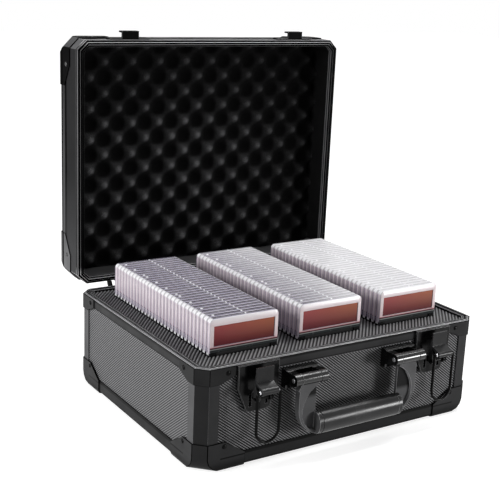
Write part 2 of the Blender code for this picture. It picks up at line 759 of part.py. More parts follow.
def make_lid():
    """Lid frame, its lining and top panel, the foam, catches and upper corner caps."""
    back = LID_Z + LID_HEIGHT
    rim_groove = LID_Z + LID_RIM_GROOVE_HEIGHT
    back_groove = LID_Z + LID_BACK_GROOVE_HEIGHT
    side = LID_GROOVE_DEPTH
    wide = LID_GROOVE_WIDTH
    rim_top = LID_Z + LID_RIM_THICKNESS
    skin = LID_SKIN
    tongue_z = LID_Z - LID_TONGUE
    tongue_in = RIM_LIP_WIDTH + GAP
    tongue_out = RIM_INNER_EDGE - RIM_INNER_LIP_WIDTH - GAP
    section = [
        (0, LID_Z), (0, rim_groove), (side, rim_groove + side), (side, rim_groove + wide - side),
        (0, rim_groove + wide), (0, back_groove), (side, back_groove + side),
        (side, back_groove + wide - side), (0, back_groove + wide),
    ]
    section += rounded_edge(0, LID_ROUNDING, back, LID_ROUNDING_STEPS, upwards=True)
    wall, inner_radius = side + skin, LID_ROUNDING - skin
    inner = rounded_edge(wall, inner_radius, back - skin, LID_ROUNDING_STEPS, upwards=True)
    section += [(LID_TOP_FLANGE, back), (LID_TOP_FLANGE, back - skin), *inner[::-1]]
    section += [
        (wall, rim_top), (RIM_INNER_EDGE, rim_top),
        (RIM_INNER_EDGE, LID_Z), (tongue_out, LID_Z), (tongue_out, tongue_z),
        (tongue_in, tongue_z), (tongue_in, LID_Z),
    ]
    hinge = Matrix.Translation((0, -HINGE_Y, -HINGE_Z))
    lid_pieces = []
    ring = ring_mesh("lid_frame", section)
    frame = combined_mesh("lid_frame", ring, cut=corner_trims(back, -1))
    lid_pieces.append(("lid_frame", frame, black_frame))

    panel_top = back - skin - GAP
    panel_z = panel_top - PANEL_THICKNESS
    lining_in = wall + GAP
    lining_out = lining_in + LINING_THICKNESS
    sheet = prism_mesh("lid_panel", plan_loop(wall + inner_radius), "z", panel_z, panel_top)
    panel = combined_mesh("lid_panel", sheet, cut=corner_trims(back, -1, skin))
    lid_pieces.append(("lid_panel", panel, textured))
    low, high = rim_top + GAP, back - CORNER_BALL
    lining = [(lining_in, low), (lining_out, low), (lining_out, high), (lining_in, high)]
    lid_pieces.append(("lid_lining", ring_mesh("lid_lining", lining), dark_lining))
    foam = foam_mesh(lining_out + GAP, panel_z - GAP)
    lid_pieces.append(("lid_foam", foam, dark_foam))
    for name, mesh, finish in lid_pieces:
        mesh.transform(hinge)
        piece(name, mesh, finish, lid)

    cap = cap_mesh()
    flip = Matrix.Rotation(math.pi, 4, "X") @ Matrix.Rotation(-math.pi / 2, 4, "Z")
    cap.transform(flip)
    for name, (x, y), turns in corner_places():
        turn = (0, 0, turns * math.pi / 2)
        place = (x, y - HINGE_Y, back - HINGE_Z)
        piece(f"lid_cap_{name}", cap, black_plastic, lid, place, turn, SMOOTH_ANGLE)
    make_catches()


def foam_mesh(inset, back):
    """Egg-crate foam: crests on a staggered square lattice that face the case's inside."""
    half, depth = HALF_WIDTH - inset, CASE_DEPTH - 2 * inset
    step = FOAM_WAVE / FOAM_STEPS_PER_WAVE
    across, along = math.ceil(2 * half / step), math.ceil(depth / step)
    crest, valley = LID_Z + FOAM_PEAK_DEPTH, LID_Z + FOAM_VALLEY_DEPTH
    middle, swing = (crest + valley) / 2, (valley - crest) / 2
    bm = bmesh.new()
    bmesh.ops.create_grid(bm, x_segments=across, y_segments=along, size=1.0)
    bmesh.ops.scale(bm, verts=bm.verts, vec=(across * step / 2, along * step / 2, 1.0))
    for vert in bm.verts:
        wave = math.cos(2 * math.pi * (vert.co.x / FOAM_WAVE + FOAM_START_SHARE))
        wave *= math.cos(2 * math.pi * vert.co.y / FOAM_WAVE)
        vert.co.z = middle - swing * wave
    rim = [edge for edge in bm.edges if edge.is_boundary]
    skirt = bmesh.ops.extrude_edge_only(bm, edges=rim)["geom"]
    for vert in [item for item in skirt if isinstance(item, bmesh.types.BMVert)]:
        vert.co.z = back + CUT_OVERRUN
    edges = [item for item in skirt if isinstance(item, bmesh.types.BMEdge)]
    bmesh.ops.contextual_create(bm, geom=edges)
    bmesh.ops.translate(bm, verts=bm.verts, vec=(0, CASE_DEPTH / 2, 0))
    bounds = prism_mesh("foam_bounds", plan_loop(inset), "z", LID_Z, back)
    return combined_mesh("lid_foam", mesh_from(bm, "lid_foam"), within=(bounds,))


def make_catches():
    """Catch plates on the lid's front edge, each with an upturned hook for a latch loop."""
    low = LID_Z + CATCH_RIM_GAP
    high = low + CATCH_HEIGHT
    half, end = CATCH_WIDTH / 2, CATCH_END_CHAMFER
    outline = [
        (-half, low), (half, low), (half, high - end), (half - end, high),
        (-half + end, high), (-half, high - end),
    ]
    front = -GAP
    face = front - CATCH_THICKNESS
    plate = prism_mesh("catch", outline, "y", face, front)
    out = front - HOOK_OUT
    hook = [
        (front - CATCH_THICKNESS / 2, low), (out, low), (out, low + HOOK_HEIGHT),
        (out + HOOK_WALL, low + HOOK_HEIGHT), (out + HOOK_WALL, low + HOOK_WALL),
        (front - CATCH_THICKNESS / 2, low + HOOK_WALL),
    ]
    hooked = prism_mesh("hook", hook, "x", -HOOK_WIDTH / 2, HOOK_WIDTH / 2)
    mesh = combined_mesh("lid_catch", plate, joined=(hooked,))
    mesh.transform(Matrix.Translation((0, -HINGE_Y, -HINGE_Z)))
    for name, side in SIDES:
        piece(f"lid_catch_{name}", mesh, black_steel, lid, (side * LATCH_OFFSET, 0, 0))


def plate_outline():
    """Latch plate seen from the front: straight shoulders that taper to a rounded foot."""
    top = RIM_Z - PLATE_TOP_GAP
    shoulder, foot = top - PLATE_TAPER_DROP, top - PLATE_HEIGHT
    half, low_half, r = PLATE_TOP_WIDTH / 2, PLATE_BOTTOM_WIDTH / 2, PLATE_CORNER
    right = arc((low_half - r, foot + r), r, 0, -math.pi / 2, SLAB_CORNER_STEPS + 1)
    left = arc((-low_half + r, foot + r), r, -math.pi / 2, -math.pi, SLAB_CORNER_STEPS + 1)
    return [(-half, shoulder), (-half, top), (half, top), (half, shoulder), *right, *left]


def latch_plate_mesh():
    """Fixed plate with two slots for the lever's cheeks and two ears for its pin."""
    front = -GAP
    face = front - PLATE_THICKNESS
    plate = prism_mesh("latch_plate", plate_outline(), "y", face, front)
    break_edges(
        plate, PLATE_BREAK, 1, lambda edge: all(v.co.y < face + TOUCH for v in edge.verts)
    )
    pivot_z = RIM_Z - LEVER_PIVOT_DROP
    out, r = -LEVER_PIVOT_OUT, EAR_RADIUS
    ear = [(front - PLATE_THICKNESS / 2, pivot_z - r)]
    ear += arc((out, pivot_z), r, -math.pi / 2, -math.pi * 3 / 2, ROUND_SIDES // 2)
    ear += [(front - PLATE_THICKNESS / 2, pivot_z + r)]
    ears = []
    for name, side in SIDES:
        edges = sorted((side * EAR_HALF_GAP, side * (EAR_HALF_GAP + EAR_THICKNESS)))
        ears.append(prism_mesh(f"ear_{name}", ear, "x", *edges))
    slots = []
    slot_top = pivot_z + LEVER_PIN_RADIUS
    for name, side in SIDES:
        x = side * SLOT_SPACING / 2
        low = (x - SLOT_WIDTH / 2, face - CUT_OVERRUN / 2, slot_top - SLOT_HEIGHT)
        slots.append(box_mesh(f"slot_{name}", low, (x + SLOT_WIDTH / 2, CUT_OVERRUN, slot_top)))
    hole = rod_mesh(
        "ear_hole", LEVER_PIN_RADIUS + PIN_CLEARANCE, -LEVER_WIDTH, LEVER_WIDTH, out, pivot_z
    )
    return combined_mesh("latch_plate", plate, joined=ears, cut=(*slots, hole))


def lever_mesh():
    """Lever drawn about its pivot: a thumb face, two cheeks and the rolled end that holds the loop."""
    half = LEVER_WIDTH / 2
    face = LEVER_PIVOT_OUT - LEVER_FACE_OUT
    top = LEVER_PIVOT_DROP - LEVER_TOP_GAP - PLATE_TOP_GAP
    bottom = LEVER_PIVOT_DROP - LEVER_FACE_BOTTOM_DROP
    thumb = box_mesh("lever", (-half, face, bottom), (half, face + LEVER_SHEET, top))
    roll = (LEVER_PIVOT_OUT - ROLL_OUT, LEVER_PIVOT_DROP - ROLL_DROP)
    barrel = rod_mesh("barrel", ROLL_RADIUS, -ROLL_LENGTH / 2, ROLL_LENGTH / 2, *roll)
    sheet = LEVER_SHEET
    bend = [
        (face + sheet, bottom), (face + sheet, bottom + 2 * sheet), (face, bottom + 2 * sheet),
        (roll[0], roll[1] + ROLL_RADIUS), (roll[0], roll[1] + ROLL_RADIUS - sheet),
    ]
    strap = prism_mesh("strap", bend, "x", -ROLL_LENGTH / 2, ROLL_LENGTH / 2)
    r = LEVER_CHEEK_RADIUS
    cheek = arc((0, 0), r, -math.pi, 0, ROUND_SIDES // 2)
    cheek += [(r, bottom), (face + sheet, top - LEVER_CHEEK_TOP_DROP)]
    cheek += [(face + sheet / 2, top - LEVER_CHEEK_TOP_DROP), (face + sheet / 2, bottom)]
    cheeks = []
    for name, side in SIDES:
        edges = sorted((side * (half - sheet), side * half))
        cheeks.append(prism_mesh(f"cheek_{name}", cheek, "x", *edges))
    bore = rod_mesh("bore", BAIL_WIRE_RADIUS + PIN_CLEARANCE, -half, half, *roll)
    hole = rod_mesh(
        "hole", LEVER_PIN_RADIUS + PIN_CLEARANCE, -LEVER_WIDTH, LEVER_WIDTH
    )
    return combined_mesh("latch_lever", thumb, joined=(barrel, strap, *cheeks), cut=(bore, hole))


def wire_mesh(name, path, radius):
    """A closed round wire along a path, as a mesh with its caps welded."""
    curve = bpy.data.curves.new(name, "CURVE")
    curve.dimensions = "3D"
    curve.bevel_depth = radius
    curve.bevel_resolution = 2
    curve.use_fill_caps = True
    spline = curve.splines.new("POLY")
    spline.points.add(len(path) - 1)
    for point, place in zip(spline.points, path):
        point.co = (*place, 1.0)
    carrier = bpy.data.objects.new(name, curve)
    cutters.objects.link(carrier)
    bpy.context.view_layer.update()
    graph = bpy.context.evaluated_depsgraph_get()
    mesh = bpy.data.meshes.new_from_object(carrier.evaluated_get(graph))
    bpy.data.objects.remove(carrier, do_unlink=True)
    bm = bmesh.new()
    bm.from_mesh(mesh)
    bmesh.ops.remove_doubles(bm, verts=bm.verts, dist=radius / 100)
    bmesh.ops.recalc_face_normals(bm, faces=bm.faces)
    bm.to_mesh(mesh)
    bm.free()
    return mesh


def bail_mesh():
    """Wire loop drawn about its own axis: a bar through the roll, two legs and a round end.

    The two ends of the wire meet in the middle of the bar, a gap apart.
    """
    half, r = BAIL_HALF_WIDTH, BAIL_HALF_WIDTH
    bend = BAIL_TOP_BEND
    leg = BAIL_LENGTH - r
    path = [(GAP, 0, 0)]
    path += [(half - bend, 0, 0)]
    corner = arc((half - bend, -bend), bend, math.pi / 2, 0, 3)
    path += [(x, 0, z) for x, z in corner[1:]]
    path += [(x, 0, z) for x, z in arc((0, -leg), r, 0, -math.pi, BAIL_ARC_STEPS)]
    corner = arc((-half + bend, -bend), bend, math.pi, math.pi / 2, 3)
    path += [(x, 0, z) for x, z in corner]
    path += [(-GAP, 0, 0)]
    return wire_mesh("latch_bail", path, BAIL_WIRE_RADIUS)


def make_latches():
    """Two loop latches on the base's front, levers up and loops hanging."""
    plate = latch_plate_mesh()
    lever = lever_mesh()
    bail = bail_mesh()
    half = LEVER_WIDTH / 2 + LEVER_PIN_OVERHANG
    pin = rod_mesh("latch_pin", LEVER_PIN_RADIUS, -half, half)
    for name, side in SIDES:
        x = side * LATCH_OFFSET
        piece(f"latch_plate_{name}", plate, black_steel, case, (x, 0, 0))
        pivot = (x, -LEVER_PIVOT_OUT, RIM_Z - LEVER_PIVOT_DROP)
        axle = empty(f"lever_axis_{name}", pivot, case)
        piece(f"latch_pin_{name}", pin, bright_steel, case, pivot)
        piece(f"latch_lever_{name}", lever, black_steel, axle, smooth=SMOOTH_ANGLE)
        place = (0, LEVER_PIVOT_OUT - ROLL_OUT, LEVER_PIVOT_DROP - ROLL_DROP)
        loop = empty(f"bail_axis_{name}", place, axle)
        piece(f"latch_bail_{name}", bail, black_wire, loop, smooth=SMOOTH_ANGLE)


def handle_mount_mesh():
    """Bracket on the front panel: a block with two round lugs that hold the handle's pin."""
    half = MOUNT_WIDTH / 2
    back = PANEL_INSET - GAP
    out, r = -HANDLE_PIVOT_OUT, MOUNT_LUG_RADIUS
    block = box_mesh(
        "handle_mount", (-half, -MOUNT_BASE_OUT, -MOUNT_BELOW), (half, back, MOUNT_ABOVE)
    )
    break_edges(
        block, MOUNT_EDGE, 1, lambda edge: all(v.co.y < 0 for v in edge.verts)
    )
    lug = [(-MOUNT_BASE_OUT / 2, -MOUNT_BELOW * LUG_FOOT_SHARE)]
    lug += arc((out, 0), r, -math.pi / 2, -math.pi * 3 / 2, ROUND_SIDES // 2)
    lug += [(-MOUNT_BASE_OUT / 2, MOUNT_ABOVE * LUG_FOOT_SHARE)]
    lugs = []
    for name, side in SIDES:
        edges = sorted((side * (half - MOUNT_LUG_WIDTH), side * half))
        lugs.append(prism_mesh(f"lug_{name}", lug, "x", *edges))
    hole = rod_mesh("lug_hole", HANDLE_PIN_RADIUS + PIN_CLEARANCE, -MOUNT_WIDTH, MOUNT_WIDTH, out)
    return combined_mesh("handle_mount", block, joined=lugs, cut=(hole,))


def handle_frame_mesh():
    """Handle frame drawn about its axis: two arms, each with a waist, joined by the bar inside the grip."""
    r, low = HANDLE_CORNER, -HANDLE_DROP
    half_thick = ARM_THICKNESS / 2
    barrel_in, barrel_out = HANDLE_OFFSET - BARREL_WIDTH / 2, HANDLE_OFFSET + BARREL_WIDTH / 2
    neck_in, neck_out = barrel_in + NECK_STEP, barrel_out - NECK_STEP
    waist = (neck_in, -ARM_WAIST_DROP)
    arm = [(neck_in, 0)]
    arm += arc(waist, ARM_WAIST_RADIUS, math.pi / 2, 0, ARM_WAIST_STEPS)
    arm += [(ARM_INNER, waist[1]), (ARM_INNER, low)]
    arm += arc((ARM_OUTER - r, low + r), r, -math.pi / 2, 0, HANDLE_CORNER_STEPS)
    arm += [(ARM_OUTER, -ARM_SHOULDER_DROP), (neck_out, -ARM_SHOULDER_DROP), (neck_out, 0)]
    arms = []
    for name, side in SIDES:
        outline = [(side * x, z) for x, z in arm]
        limb = prism_mesh(f"arm_{name}", outline, "y", -half_thick, half_thick)
        break_edges(limb, ARM_EDGE, ARM_EDGE_STEPS, arm_edge)
        arms.append(limb)
    core_z = low + GRIP_HEIGHT / 2
    core_end = ARM_INNER + ARM_EDGE
    core = rod_mesh("grip_core", GRIP_CORE / 2, -core_end, core_end, 0, core_z)
    barrels, bores = [], []
    for name, side in SIDES:
        start, end = sorted((side * barrel_in, side * barrel_out))
        barrels.append(rod_mesh(f"barrel_{name}", BARREL_RADIUS, start, end))
        bore = HANDLE_PIN_RADIUS + PIN_CLEARANCE
        bores.append(rod_mesh(f"bore_{name}", bore, start - CUT_OVERRUN, end + CUT_OVERRUN))
    return combined_mesh("handle_frame", arms[0], joined=(arms[1], core, *barrels), cut=bores)


def arm_edge(edge):
    """Whether an edge runs round one of an arm's two faces, below its neck."""
    first, second = (vertex.co for vertex in edge.verts)
    return abs(first.y - second.y) < GAP and max(first.z, second.z) < -ARM_SHOULDER_DROP + GAP


def grip_mesh():
    """Soft oval sleeve around the handle's bar, with its bore."""
    bm = bmesh.new()
    bmesh.ops.create_cone(
        bm, cap_ends=True, segments=GRIP_SIDES, radius1=0.5, radius2=0.5,
        depth=2 * GRIP_HALF_LENGTH,
    )
    bmesh.ops.rotate(bm, verts=bm.verts, matrix=Matrix.Rotation(math.pi / 2, 3, "Y"))
    bmesh.ops.scale(bm, verts=bm.verts, vec=(1.0, GRIP_DEPTH, GRIP_HEIGHT))
    sleeve = mesh_from(bm, "handle_grip")
    long = GRIP_HALF_LENGTH + CUT_OVERRUN
    bore = rod_mesh("grip_bore", GRIP_CORE / 2 + GAP, -long, long)
    return combined_mesh("handle_grip", sleeve, cut=(bore,))


def make_handle():
    """Drop handle on two brackets, hanging in front of the front panel."""
    pivot_z = RIM_Z - HANDLE_PIVOT_DROP
    axle = empty("handle_axis", (0, -HANDLE_PIVOT_OUT, pivot_z), case)
    mount = handle_mount_mesh()
    half = MOUNT_WIDTH / 2 + HANDLE_PIN_OVERHANG
    pin = rod_mesh("handle_pin", HANDLE_PIN_RADIUS, -half, half)
    for name, side in SIDES:
        x = side * HANDLE_OFFSET
        piece(f"handle_mount_{name}", mount, gloss_black, case, (x, 0, pivot_z), smooth=SMOOTH_ANGLE)
        piece(f"handle_pin_{name}", pin, bright_steel, case, (x, -HANDLE_PIVOT_OUT, pivot_z))
    piece("handle_frame", handle_frame_mesh(), black_plastic, axle, smooth=SMOOTH_ANGLE)
    place = (0, 0, -HANDLE_DROP + GRIP_HEIGHT / 2)
    piece("handle_grip", grip_mesh(), gloss_black, axle, place, smooth=SMOOTH_ANGLE)


def leaf_section(up):
    """Section of a leaf about the hinge axis: a plate on the frame's back that curls into a knuckle.

    up is 1 for the lid's leaf, above the axis, and -1 for the base's leaf.
    """
    front = GAP - HINGE_OUT
    back = front + HINGE_LEAF_THICKNESS
    edge = HINGE_LEAF_RIM_GAP + HINGE_LEAF_HEIGHT
    r = HINGE_KNUCKLE_RADIUS
    knuckle = arc((0, 0), r, math.pi, 5 * math.pi / 2, ROUND_SIDES * 3 // 4)
    points = [(front, edge), (front, GAP), *knuckle, (back, r), (back, edge)]
    return [(y, up * z) for y, z in points]


def leaf_mesh(name, up, cuts):
    """The left hinge's leaf, with its knuckle cut away wherever the other leaf has one."""
    left, right = -HINGE_OUTER_END, -HINGE_INNER_END
    leaf = prism_mesh(name, leaf_section(up), "x", left, right)
    far = HINGE_OUT + CUT_OVERRUN
    helpers = []
    for number, (start, end) in enumerate(cuts):
        heights = sorted((up * HINGE_LEAF_RIM_GAP, -up * far))
        helpers.append(
            box_mesh(f"{name}_cut_{number}", (start, -far, heights[0]), (end, far, heights[1]))
        )
    over = CUT_OVERRUN
    helpers.append(rod_mesh(f"{name}_bore", HINGE_PIN_RADIUS + GAP, left - over, right + over))
    return leaf, helpers


def stop_mesh():
    """Tab beside the left hinge's base leaf, on which the open lid's back face rests."""
    front = GAP - HINGE_OUT
    back = front + HINGE_LEAF_THICKNESS
    foot, edge = -HINGE_LEAF_RIM_GAP - HINGE_LEAF_HEIGHT, -HINGE_LEAF_RIM_GAP
    out, top = HINGE_STOP_OUT, HINGE_OUT - GAP
    outline = [(front, foot), (back, foot), (out, top - HINGE_STOP_WIDTH)]
    outline += [(out, top), (0, top), (front, edge)]
    left = -HINGE_OUTER_END - HINGE_TAB_REACH
    stop = prism_mesh("stop", outline, "x", left, left + HINGE_TAB_THICKNESS)
    ends = (left + HINGE_TAB_THICKNESS / 2, HINGE_LEAF_THICKNESS - HINGE_OUTER_END)
    strip = box_mesh("stop_strip", (ends[0], front, foot + GAP), (ends[1], back - GAP, edge - GAP))
    return stop, strip


def make_hinges():
    """Two hinges on the back, each with two leaves and a pin. The base's leaves carry the lid's stops."""
    long, over = HINGE_KNUCKLE_LENGTH, CUT_OVERRUN
    left, right = -HINGE_OUTER_END, -HINGE_INNER_END
    half_gap = GAP / 2
    middle = ((left + long - half_gap, right - long + half_gap),)
    ends = ((left - over, left + long + half_gap), (right - long - half_gap, right + over))
    leaf, helpers = leaf_mesh("hinge_leaf_base", -1, middle)
    base_leaf = combined_mesh("hinge_leaf_base", leaf, joined=stop_mesh(), cut=helpers)
    leaf, helpers = leaf_mesh("hinge_leaf_lid", 1, ends)
    lid_leaf = combined_mesh("hinge_leaf_lid", leaf, cut=helpers)
    over = HINGE_PIN_OVERHANG
    pin = rod_mesh("hinge_pin", HINGE_PIN_RADIUS, left - over, right + over)
    axis = (0, HINGE_Y, HINGE_Z)
    for name, side in SIDES:
        leaves = (base_leaf, lid_leaf, pin)
        if side > 0:
            leaves = tuple(mirrored(mesh) for mesh in leaves)
        piece(f"hinge_leaf_base_{name}", leaves[0], black_steel, case, axis)
        piece(f"hinge_leaf_lid_{name}", leaves[1], black_steel, lid)
        piece(f"hinge_pin_{name}", leaves[2], bright_steel, case, axis)


def mirrored(mesh):
    """A copy of a mesh reflected in X."""
    bm = bmesh.new()
    bm.from_mesh(mesh)
    bmesh.ops.scale(bm, verts=bm.verts, vec=(-1.0, 1.0, 1.0))
    return mesh_from(bm, mesh.name + "_right")


clear_scene()
parts = new_collection("graded_card_storage_case")
cutters = new_collection("cutters")
black_frame = material("black_anodised_aluminium", (0.045, 0.045, 0.048), 0.42, 0.85)
black_plastic = material("black_moulded_plastic", (0.050, 0.050, 0.052), 0.45)
gloss_black = material("gloss_black_plastic", (0.030, 0.030, 0.032), 0.18)
black_steel = material("black_painted_steel", (0.050, 0.050, 0.052), 0.35, 0.6)
black_wire = material("black_plated_wire", (0.045, 0.045, 0.048), 0.25, 0.8)
bright_steel = material("bright_steel", (0.62, 0.62, 0.63), 0.2, 1.0)
textured = material("textured_panel", (0.085, 0.085, 0.090), 0.5)
dark_lining = material("dark_lining", (0.060, 0.060, 0.062), 0.8)
dark_foam = material("dark_foam", (0.028, 0.028, 0.030), 0.95)
clear_plastic = material("clear_plastic", (0.90, 0.88, 0.94), 0.12, 0.0, 0.8)
red_label = material("red_label", (0.42, 0.05, 0.05), 0.45)

case = empty("case_frame", (0, -CASE_CENTRE_Y, 0))
lid = empty("lid_hinge_axis", (0, HINGE_Y, HINGE_Z), case, (-LID_OPEN_ANGLE, 0, 0))
make_base_frame()
make_insert()
make_slabs()
make_lid()
make_latches()
make_handle()
make_hinges()
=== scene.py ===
"""Dressed scene of the graded card storage case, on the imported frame.

Metres, +X to the right along the front, +Y to the back, +Z up. The case is centred on the origin and
stands on z = 0, with its lid open and upright.
"""

import json
import math

import bmesh
import bpy
from mathutils import Matrix, Vector

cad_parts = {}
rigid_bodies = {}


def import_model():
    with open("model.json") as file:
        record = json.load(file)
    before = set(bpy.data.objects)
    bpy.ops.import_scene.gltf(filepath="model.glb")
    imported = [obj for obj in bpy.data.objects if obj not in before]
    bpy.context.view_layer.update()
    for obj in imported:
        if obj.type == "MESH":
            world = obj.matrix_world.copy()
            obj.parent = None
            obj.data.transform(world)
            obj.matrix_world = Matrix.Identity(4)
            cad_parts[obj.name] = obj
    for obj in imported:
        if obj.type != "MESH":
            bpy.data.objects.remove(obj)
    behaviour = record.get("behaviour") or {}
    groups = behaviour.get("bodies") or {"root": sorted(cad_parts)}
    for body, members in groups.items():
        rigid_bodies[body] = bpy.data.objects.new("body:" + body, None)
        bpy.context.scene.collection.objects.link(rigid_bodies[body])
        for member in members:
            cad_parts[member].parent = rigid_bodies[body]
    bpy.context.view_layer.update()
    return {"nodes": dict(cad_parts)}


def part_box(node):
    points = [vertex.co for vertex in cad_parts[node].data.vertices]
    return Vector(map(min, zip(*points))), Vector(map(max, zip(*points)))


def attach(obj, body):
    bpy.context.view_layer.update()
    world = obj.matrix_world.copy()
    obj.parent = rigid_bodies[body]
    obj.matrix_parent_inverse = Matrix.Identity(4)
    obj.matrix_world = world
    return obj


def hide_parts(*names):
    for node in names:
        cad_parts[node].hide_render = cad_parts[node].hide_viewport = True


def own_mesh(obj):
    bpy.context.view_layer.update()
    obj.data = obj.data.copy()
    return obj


for obj in list(bpy.data.objects):
    bpy.data.objects.remove(obj, do_unlink=True)

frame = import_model()
nodes = frame["nodes"]

SIDES = ("left", "right")
ROWS = ("left", "middle", "right")
CORNERS = (("front", "left"), ("front", "right"), ("back", "left"), ("back", "right"))
WAY = {"left": -1, "right": 1, "front": -1, "back": 1}

RIGHTWARD = (1, 0, 0)
LEFTWARD = (-1, 0, 0)
FORWARD = (0, -1, 0)
BACKWARD = (0, 1, 0)
UPWARD = (0, 0, 1)


# Sizes and places that the materials use, some of them shared with the forms

INSERT_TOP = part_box("foam_insert")[1].z
CRATE_HEIGHT = 0.0120
RIB_DEPTH = 0.0009
SLAB_PITCH = 0.00745
PANEL_PITCH = 0.0023
PANEL_RUN, PANEL_RISE = 0.61, 0.79
LID_FOOT, LID_TOP = 0.113, 0.392
RAIL_SEAM = (0.0128, 0.0147)
RAIL_SEAM_BLUR = 0.0004
RAIL_SEAM_HALF_X, RAIL_SEAM_HALF_Y = 0.152, 0.113
RAIL_SEAM_MIDDLE_Y = -0.0142
LID_GROOVE = (0.1702, 0.1750)
LID_GROOVE_BLUR = 0.0006


# Camera, fitted to the photograph's edges

FOCAL_PIXELS = 1030.8
PICTURE_PIXELS = 500.0
SENSOR_WIDTH = 36.0
CAMERA_X, CAMERA_Y, CAMERA_Z = -0.6314, -0.928615, 0.47226
YAW, PITCH, ROLL = 0.577, 0.265, 0.043

aim = Vector((math.sin(YAW) * math.cos(PITCH), math.cos(YAW) * math.cos(PITCH), -math.sin(PITCH)))
level = aim.cross(Vector(UPWARD)).normalized()
upright = level.cross(aim)
across = level * math.cos(ROLL) + upright * math.sin(ROLL)
upward = upright * math.cos(ROLL) - level * math.sin(ROLL)
camera_data = bpy.data.cameras.new("camera")
camera_data.sensor_width = SENSOR_WIDTH
camera_data.lens = SENSOR_WIDTH * FOCAL_PIXELS / PICTURE_PIXELS
camera_data.clip_end = 20
camera = bpy.data.objects.new("camera", camera_data)
camera.matrix_world = Matrix((
    (across.x, upward.x, -aim.x, CAMERA_X),
    (across.y, upward.y, -aim.y, CAMERA_Y),
    (across.z, upward.z, -aim.z, CAMERA_Z),
    (0, 0, 0, 1),
))
bpy.context.scene.collection.objects.link(camera)
bpy.context.scene.camera = camera


# Short ways to make materials

class Shade:
    """Adds and joins the nodes of one material."""

    def __init__(self, name):
        self.material = bpy.data.materials.new(name)
        self.material.use_nodes = True
        self.tree = self.material.node_tree
        self.shader = self.tree.nodes["Principled BSDF"]
        self.coordinates = self.tree.nodes.new("ShaderNodeTexCoord").outputs

    def put(self, socket, value):
        """Join an output to a socket, or set a plain value on it."""
        if isinstance(value, bpy.types.NodeSocket):
            self.tree.links.new(value, socket)
        elif isinstance(value, tuple) and socket.type == "RGBA":
            socket.default_value = (*value, 1.0)
        else:
            socket.default_value = value

    def set(self, **values):
        """Set or join the shader's sockets, named with _ for a space."""
        for name, value in values.items():
            self.put(self.shader.inputs[name.replace("_", " ")], value)

    def operate(self, operation, first, second=0.0, clamp=False):
        """One step of arithmetic."""
        node = self.tree.nodes.new("ShaderNodeMath")
        node.operation = operation
        node.use_clamp = clamp
        self.put(node.inputs[0], first)
        self.put(node.inputs[1], second)
        return node.outputs[0]

    def times(self, first, second):
        """A product."""
        return self.operate("MULTIPLY", first, second)

    def minus(self, first, second):
        """A difference."""
        return self.operate("SUBTRACT", first, second)

    def dot(self, vectors, direction):
        """How far vectors go along a direction."""
        node = self.tree.nodes.new("ShaderNodeVectorMath")
        node.operation = "DOT_PRODUCT"
        self.put(node.inputs[0], vectors)
        node.inputs[1].default_value = direction
        return node.outputs["Value"]

    def along(self, direction):
        """How far a point lies along a direction, in metres."""
        return self.dot(self.coordinates["Object"], direction)

    def facing(self, direction):
        """How far the surface faces a direction, from -1 to 1."""
        return self.dot(self.coordinates["Normal"], direction)

    def share(self, direction, low, high):
        """How much of the way from low to high a point has gone along a direction."""
        return self.times(self.minus(self.along(direction), low), 1 / (high - low))

    def between(self, value, low, high, start=0.0, end=1.0):
        """Carry a value from one range to another, held at both ends."""
        node = self.tree.nodes.new("ShaderNodeMapRange")
        self.put(node.inputs["Value"], value)
        node.inputs["From Min"].default_value = low
        node.inputs["From Max"].default_value = high
        self.put(node.inputs["To Min"], start)
        self.put(node.inputs["To Max"], end)
        return node.outputs["Result"]

    def inside(self, value, low, high, blur):
        """1 between low and high and 0 beyond them, with blurred ends."""
        begun = self.between(value, low, low + blur)
        ended = self.between(value, high - blur, high, 1.0, 0.0)
        return self.times(begun, ended)

    def wave(self, direction, pitch):
        """A sine from 0 to 1 along a direction, so many metres long."""
        turn = self.along(Vector(direction).normalized() * (2 * math.pi / pitch))
        return self.operate("ADD", self.times(self.operate("SINE", turn), 0.5), 0.5)

    def noise(self, scale, detail=2.0, stretch=(1.0, 1.0, 1.0)):
        """Soft noise with so many features a metre."""
        mapping = self.tree.nodes.new("ShaderNodeMapping")
        self.put(mapping.inputs["Vector"], self.coordinates["Object"])
        mapping.inputs["Scale"].default_value = stretch
        node = self.tree.nodes.new("ShaderNodeTexNoise")
        self.put(node.inputs["Vector"], mapping.outputs[0])
        node.inputs["Scale"].default_value = scale
        node.inputs["Detail"].default_value = detail
        return node.outputs["Fac"]

    def ramp(self, value, stops):
        """Colours at places from 0 to 1, blended in between."""
        node = self.tree.nodes.new("ShaderNodeValToRGB")
        self.put(node.inputs[0], value)
        marks = node.color_ramp.elements
        marks.remove(marks[1])
        marks[0].position = stops[0][0]
        marks[0].color = (*stops[0][1], 1)
        for place, color in stops[1:]:
            marks.new(place).color = (*color, 1)
        return node.outputs[0]

    def mix(self, share, first, second):
        """Mix two colours."""
        node = self.tree.nodes.new("ShaderNodeMix")
        node.data_type = "RGBA"
        self.put(node.inputs[0], share)
        self.put(node.inputs[6], first)
        self.put(node.inputs[7], second)
        return node.outputs[2]

    def bump(self, height, depth):
        """Lay a relief over what the surface already has, with its depth in metres."""
        node = self.tree.nodes.new("ShaderNodeBump")
        node.inputs["Distance"].default_value = depth
        self.put(node.inputs["Height"], height)
        before = self.shader.inputs["Normal"].links
        if before:
            self.put(node.inputs["Normal"], before[0].from_socket)
        self.put(self.shader.inputs["Normal"], node.outputs[0])


def grey(tone, blue=1.03):
    """A neutral tone with a touch of blue."""
    return (tone, tone, tone * blue)


def greys(stops, tone=1.0, blue=1.03):
    """A ramp's stops from pairs of a place and a share of a tone."""
    return [(place, grey(share * tone, blue)) for place, share in stops]


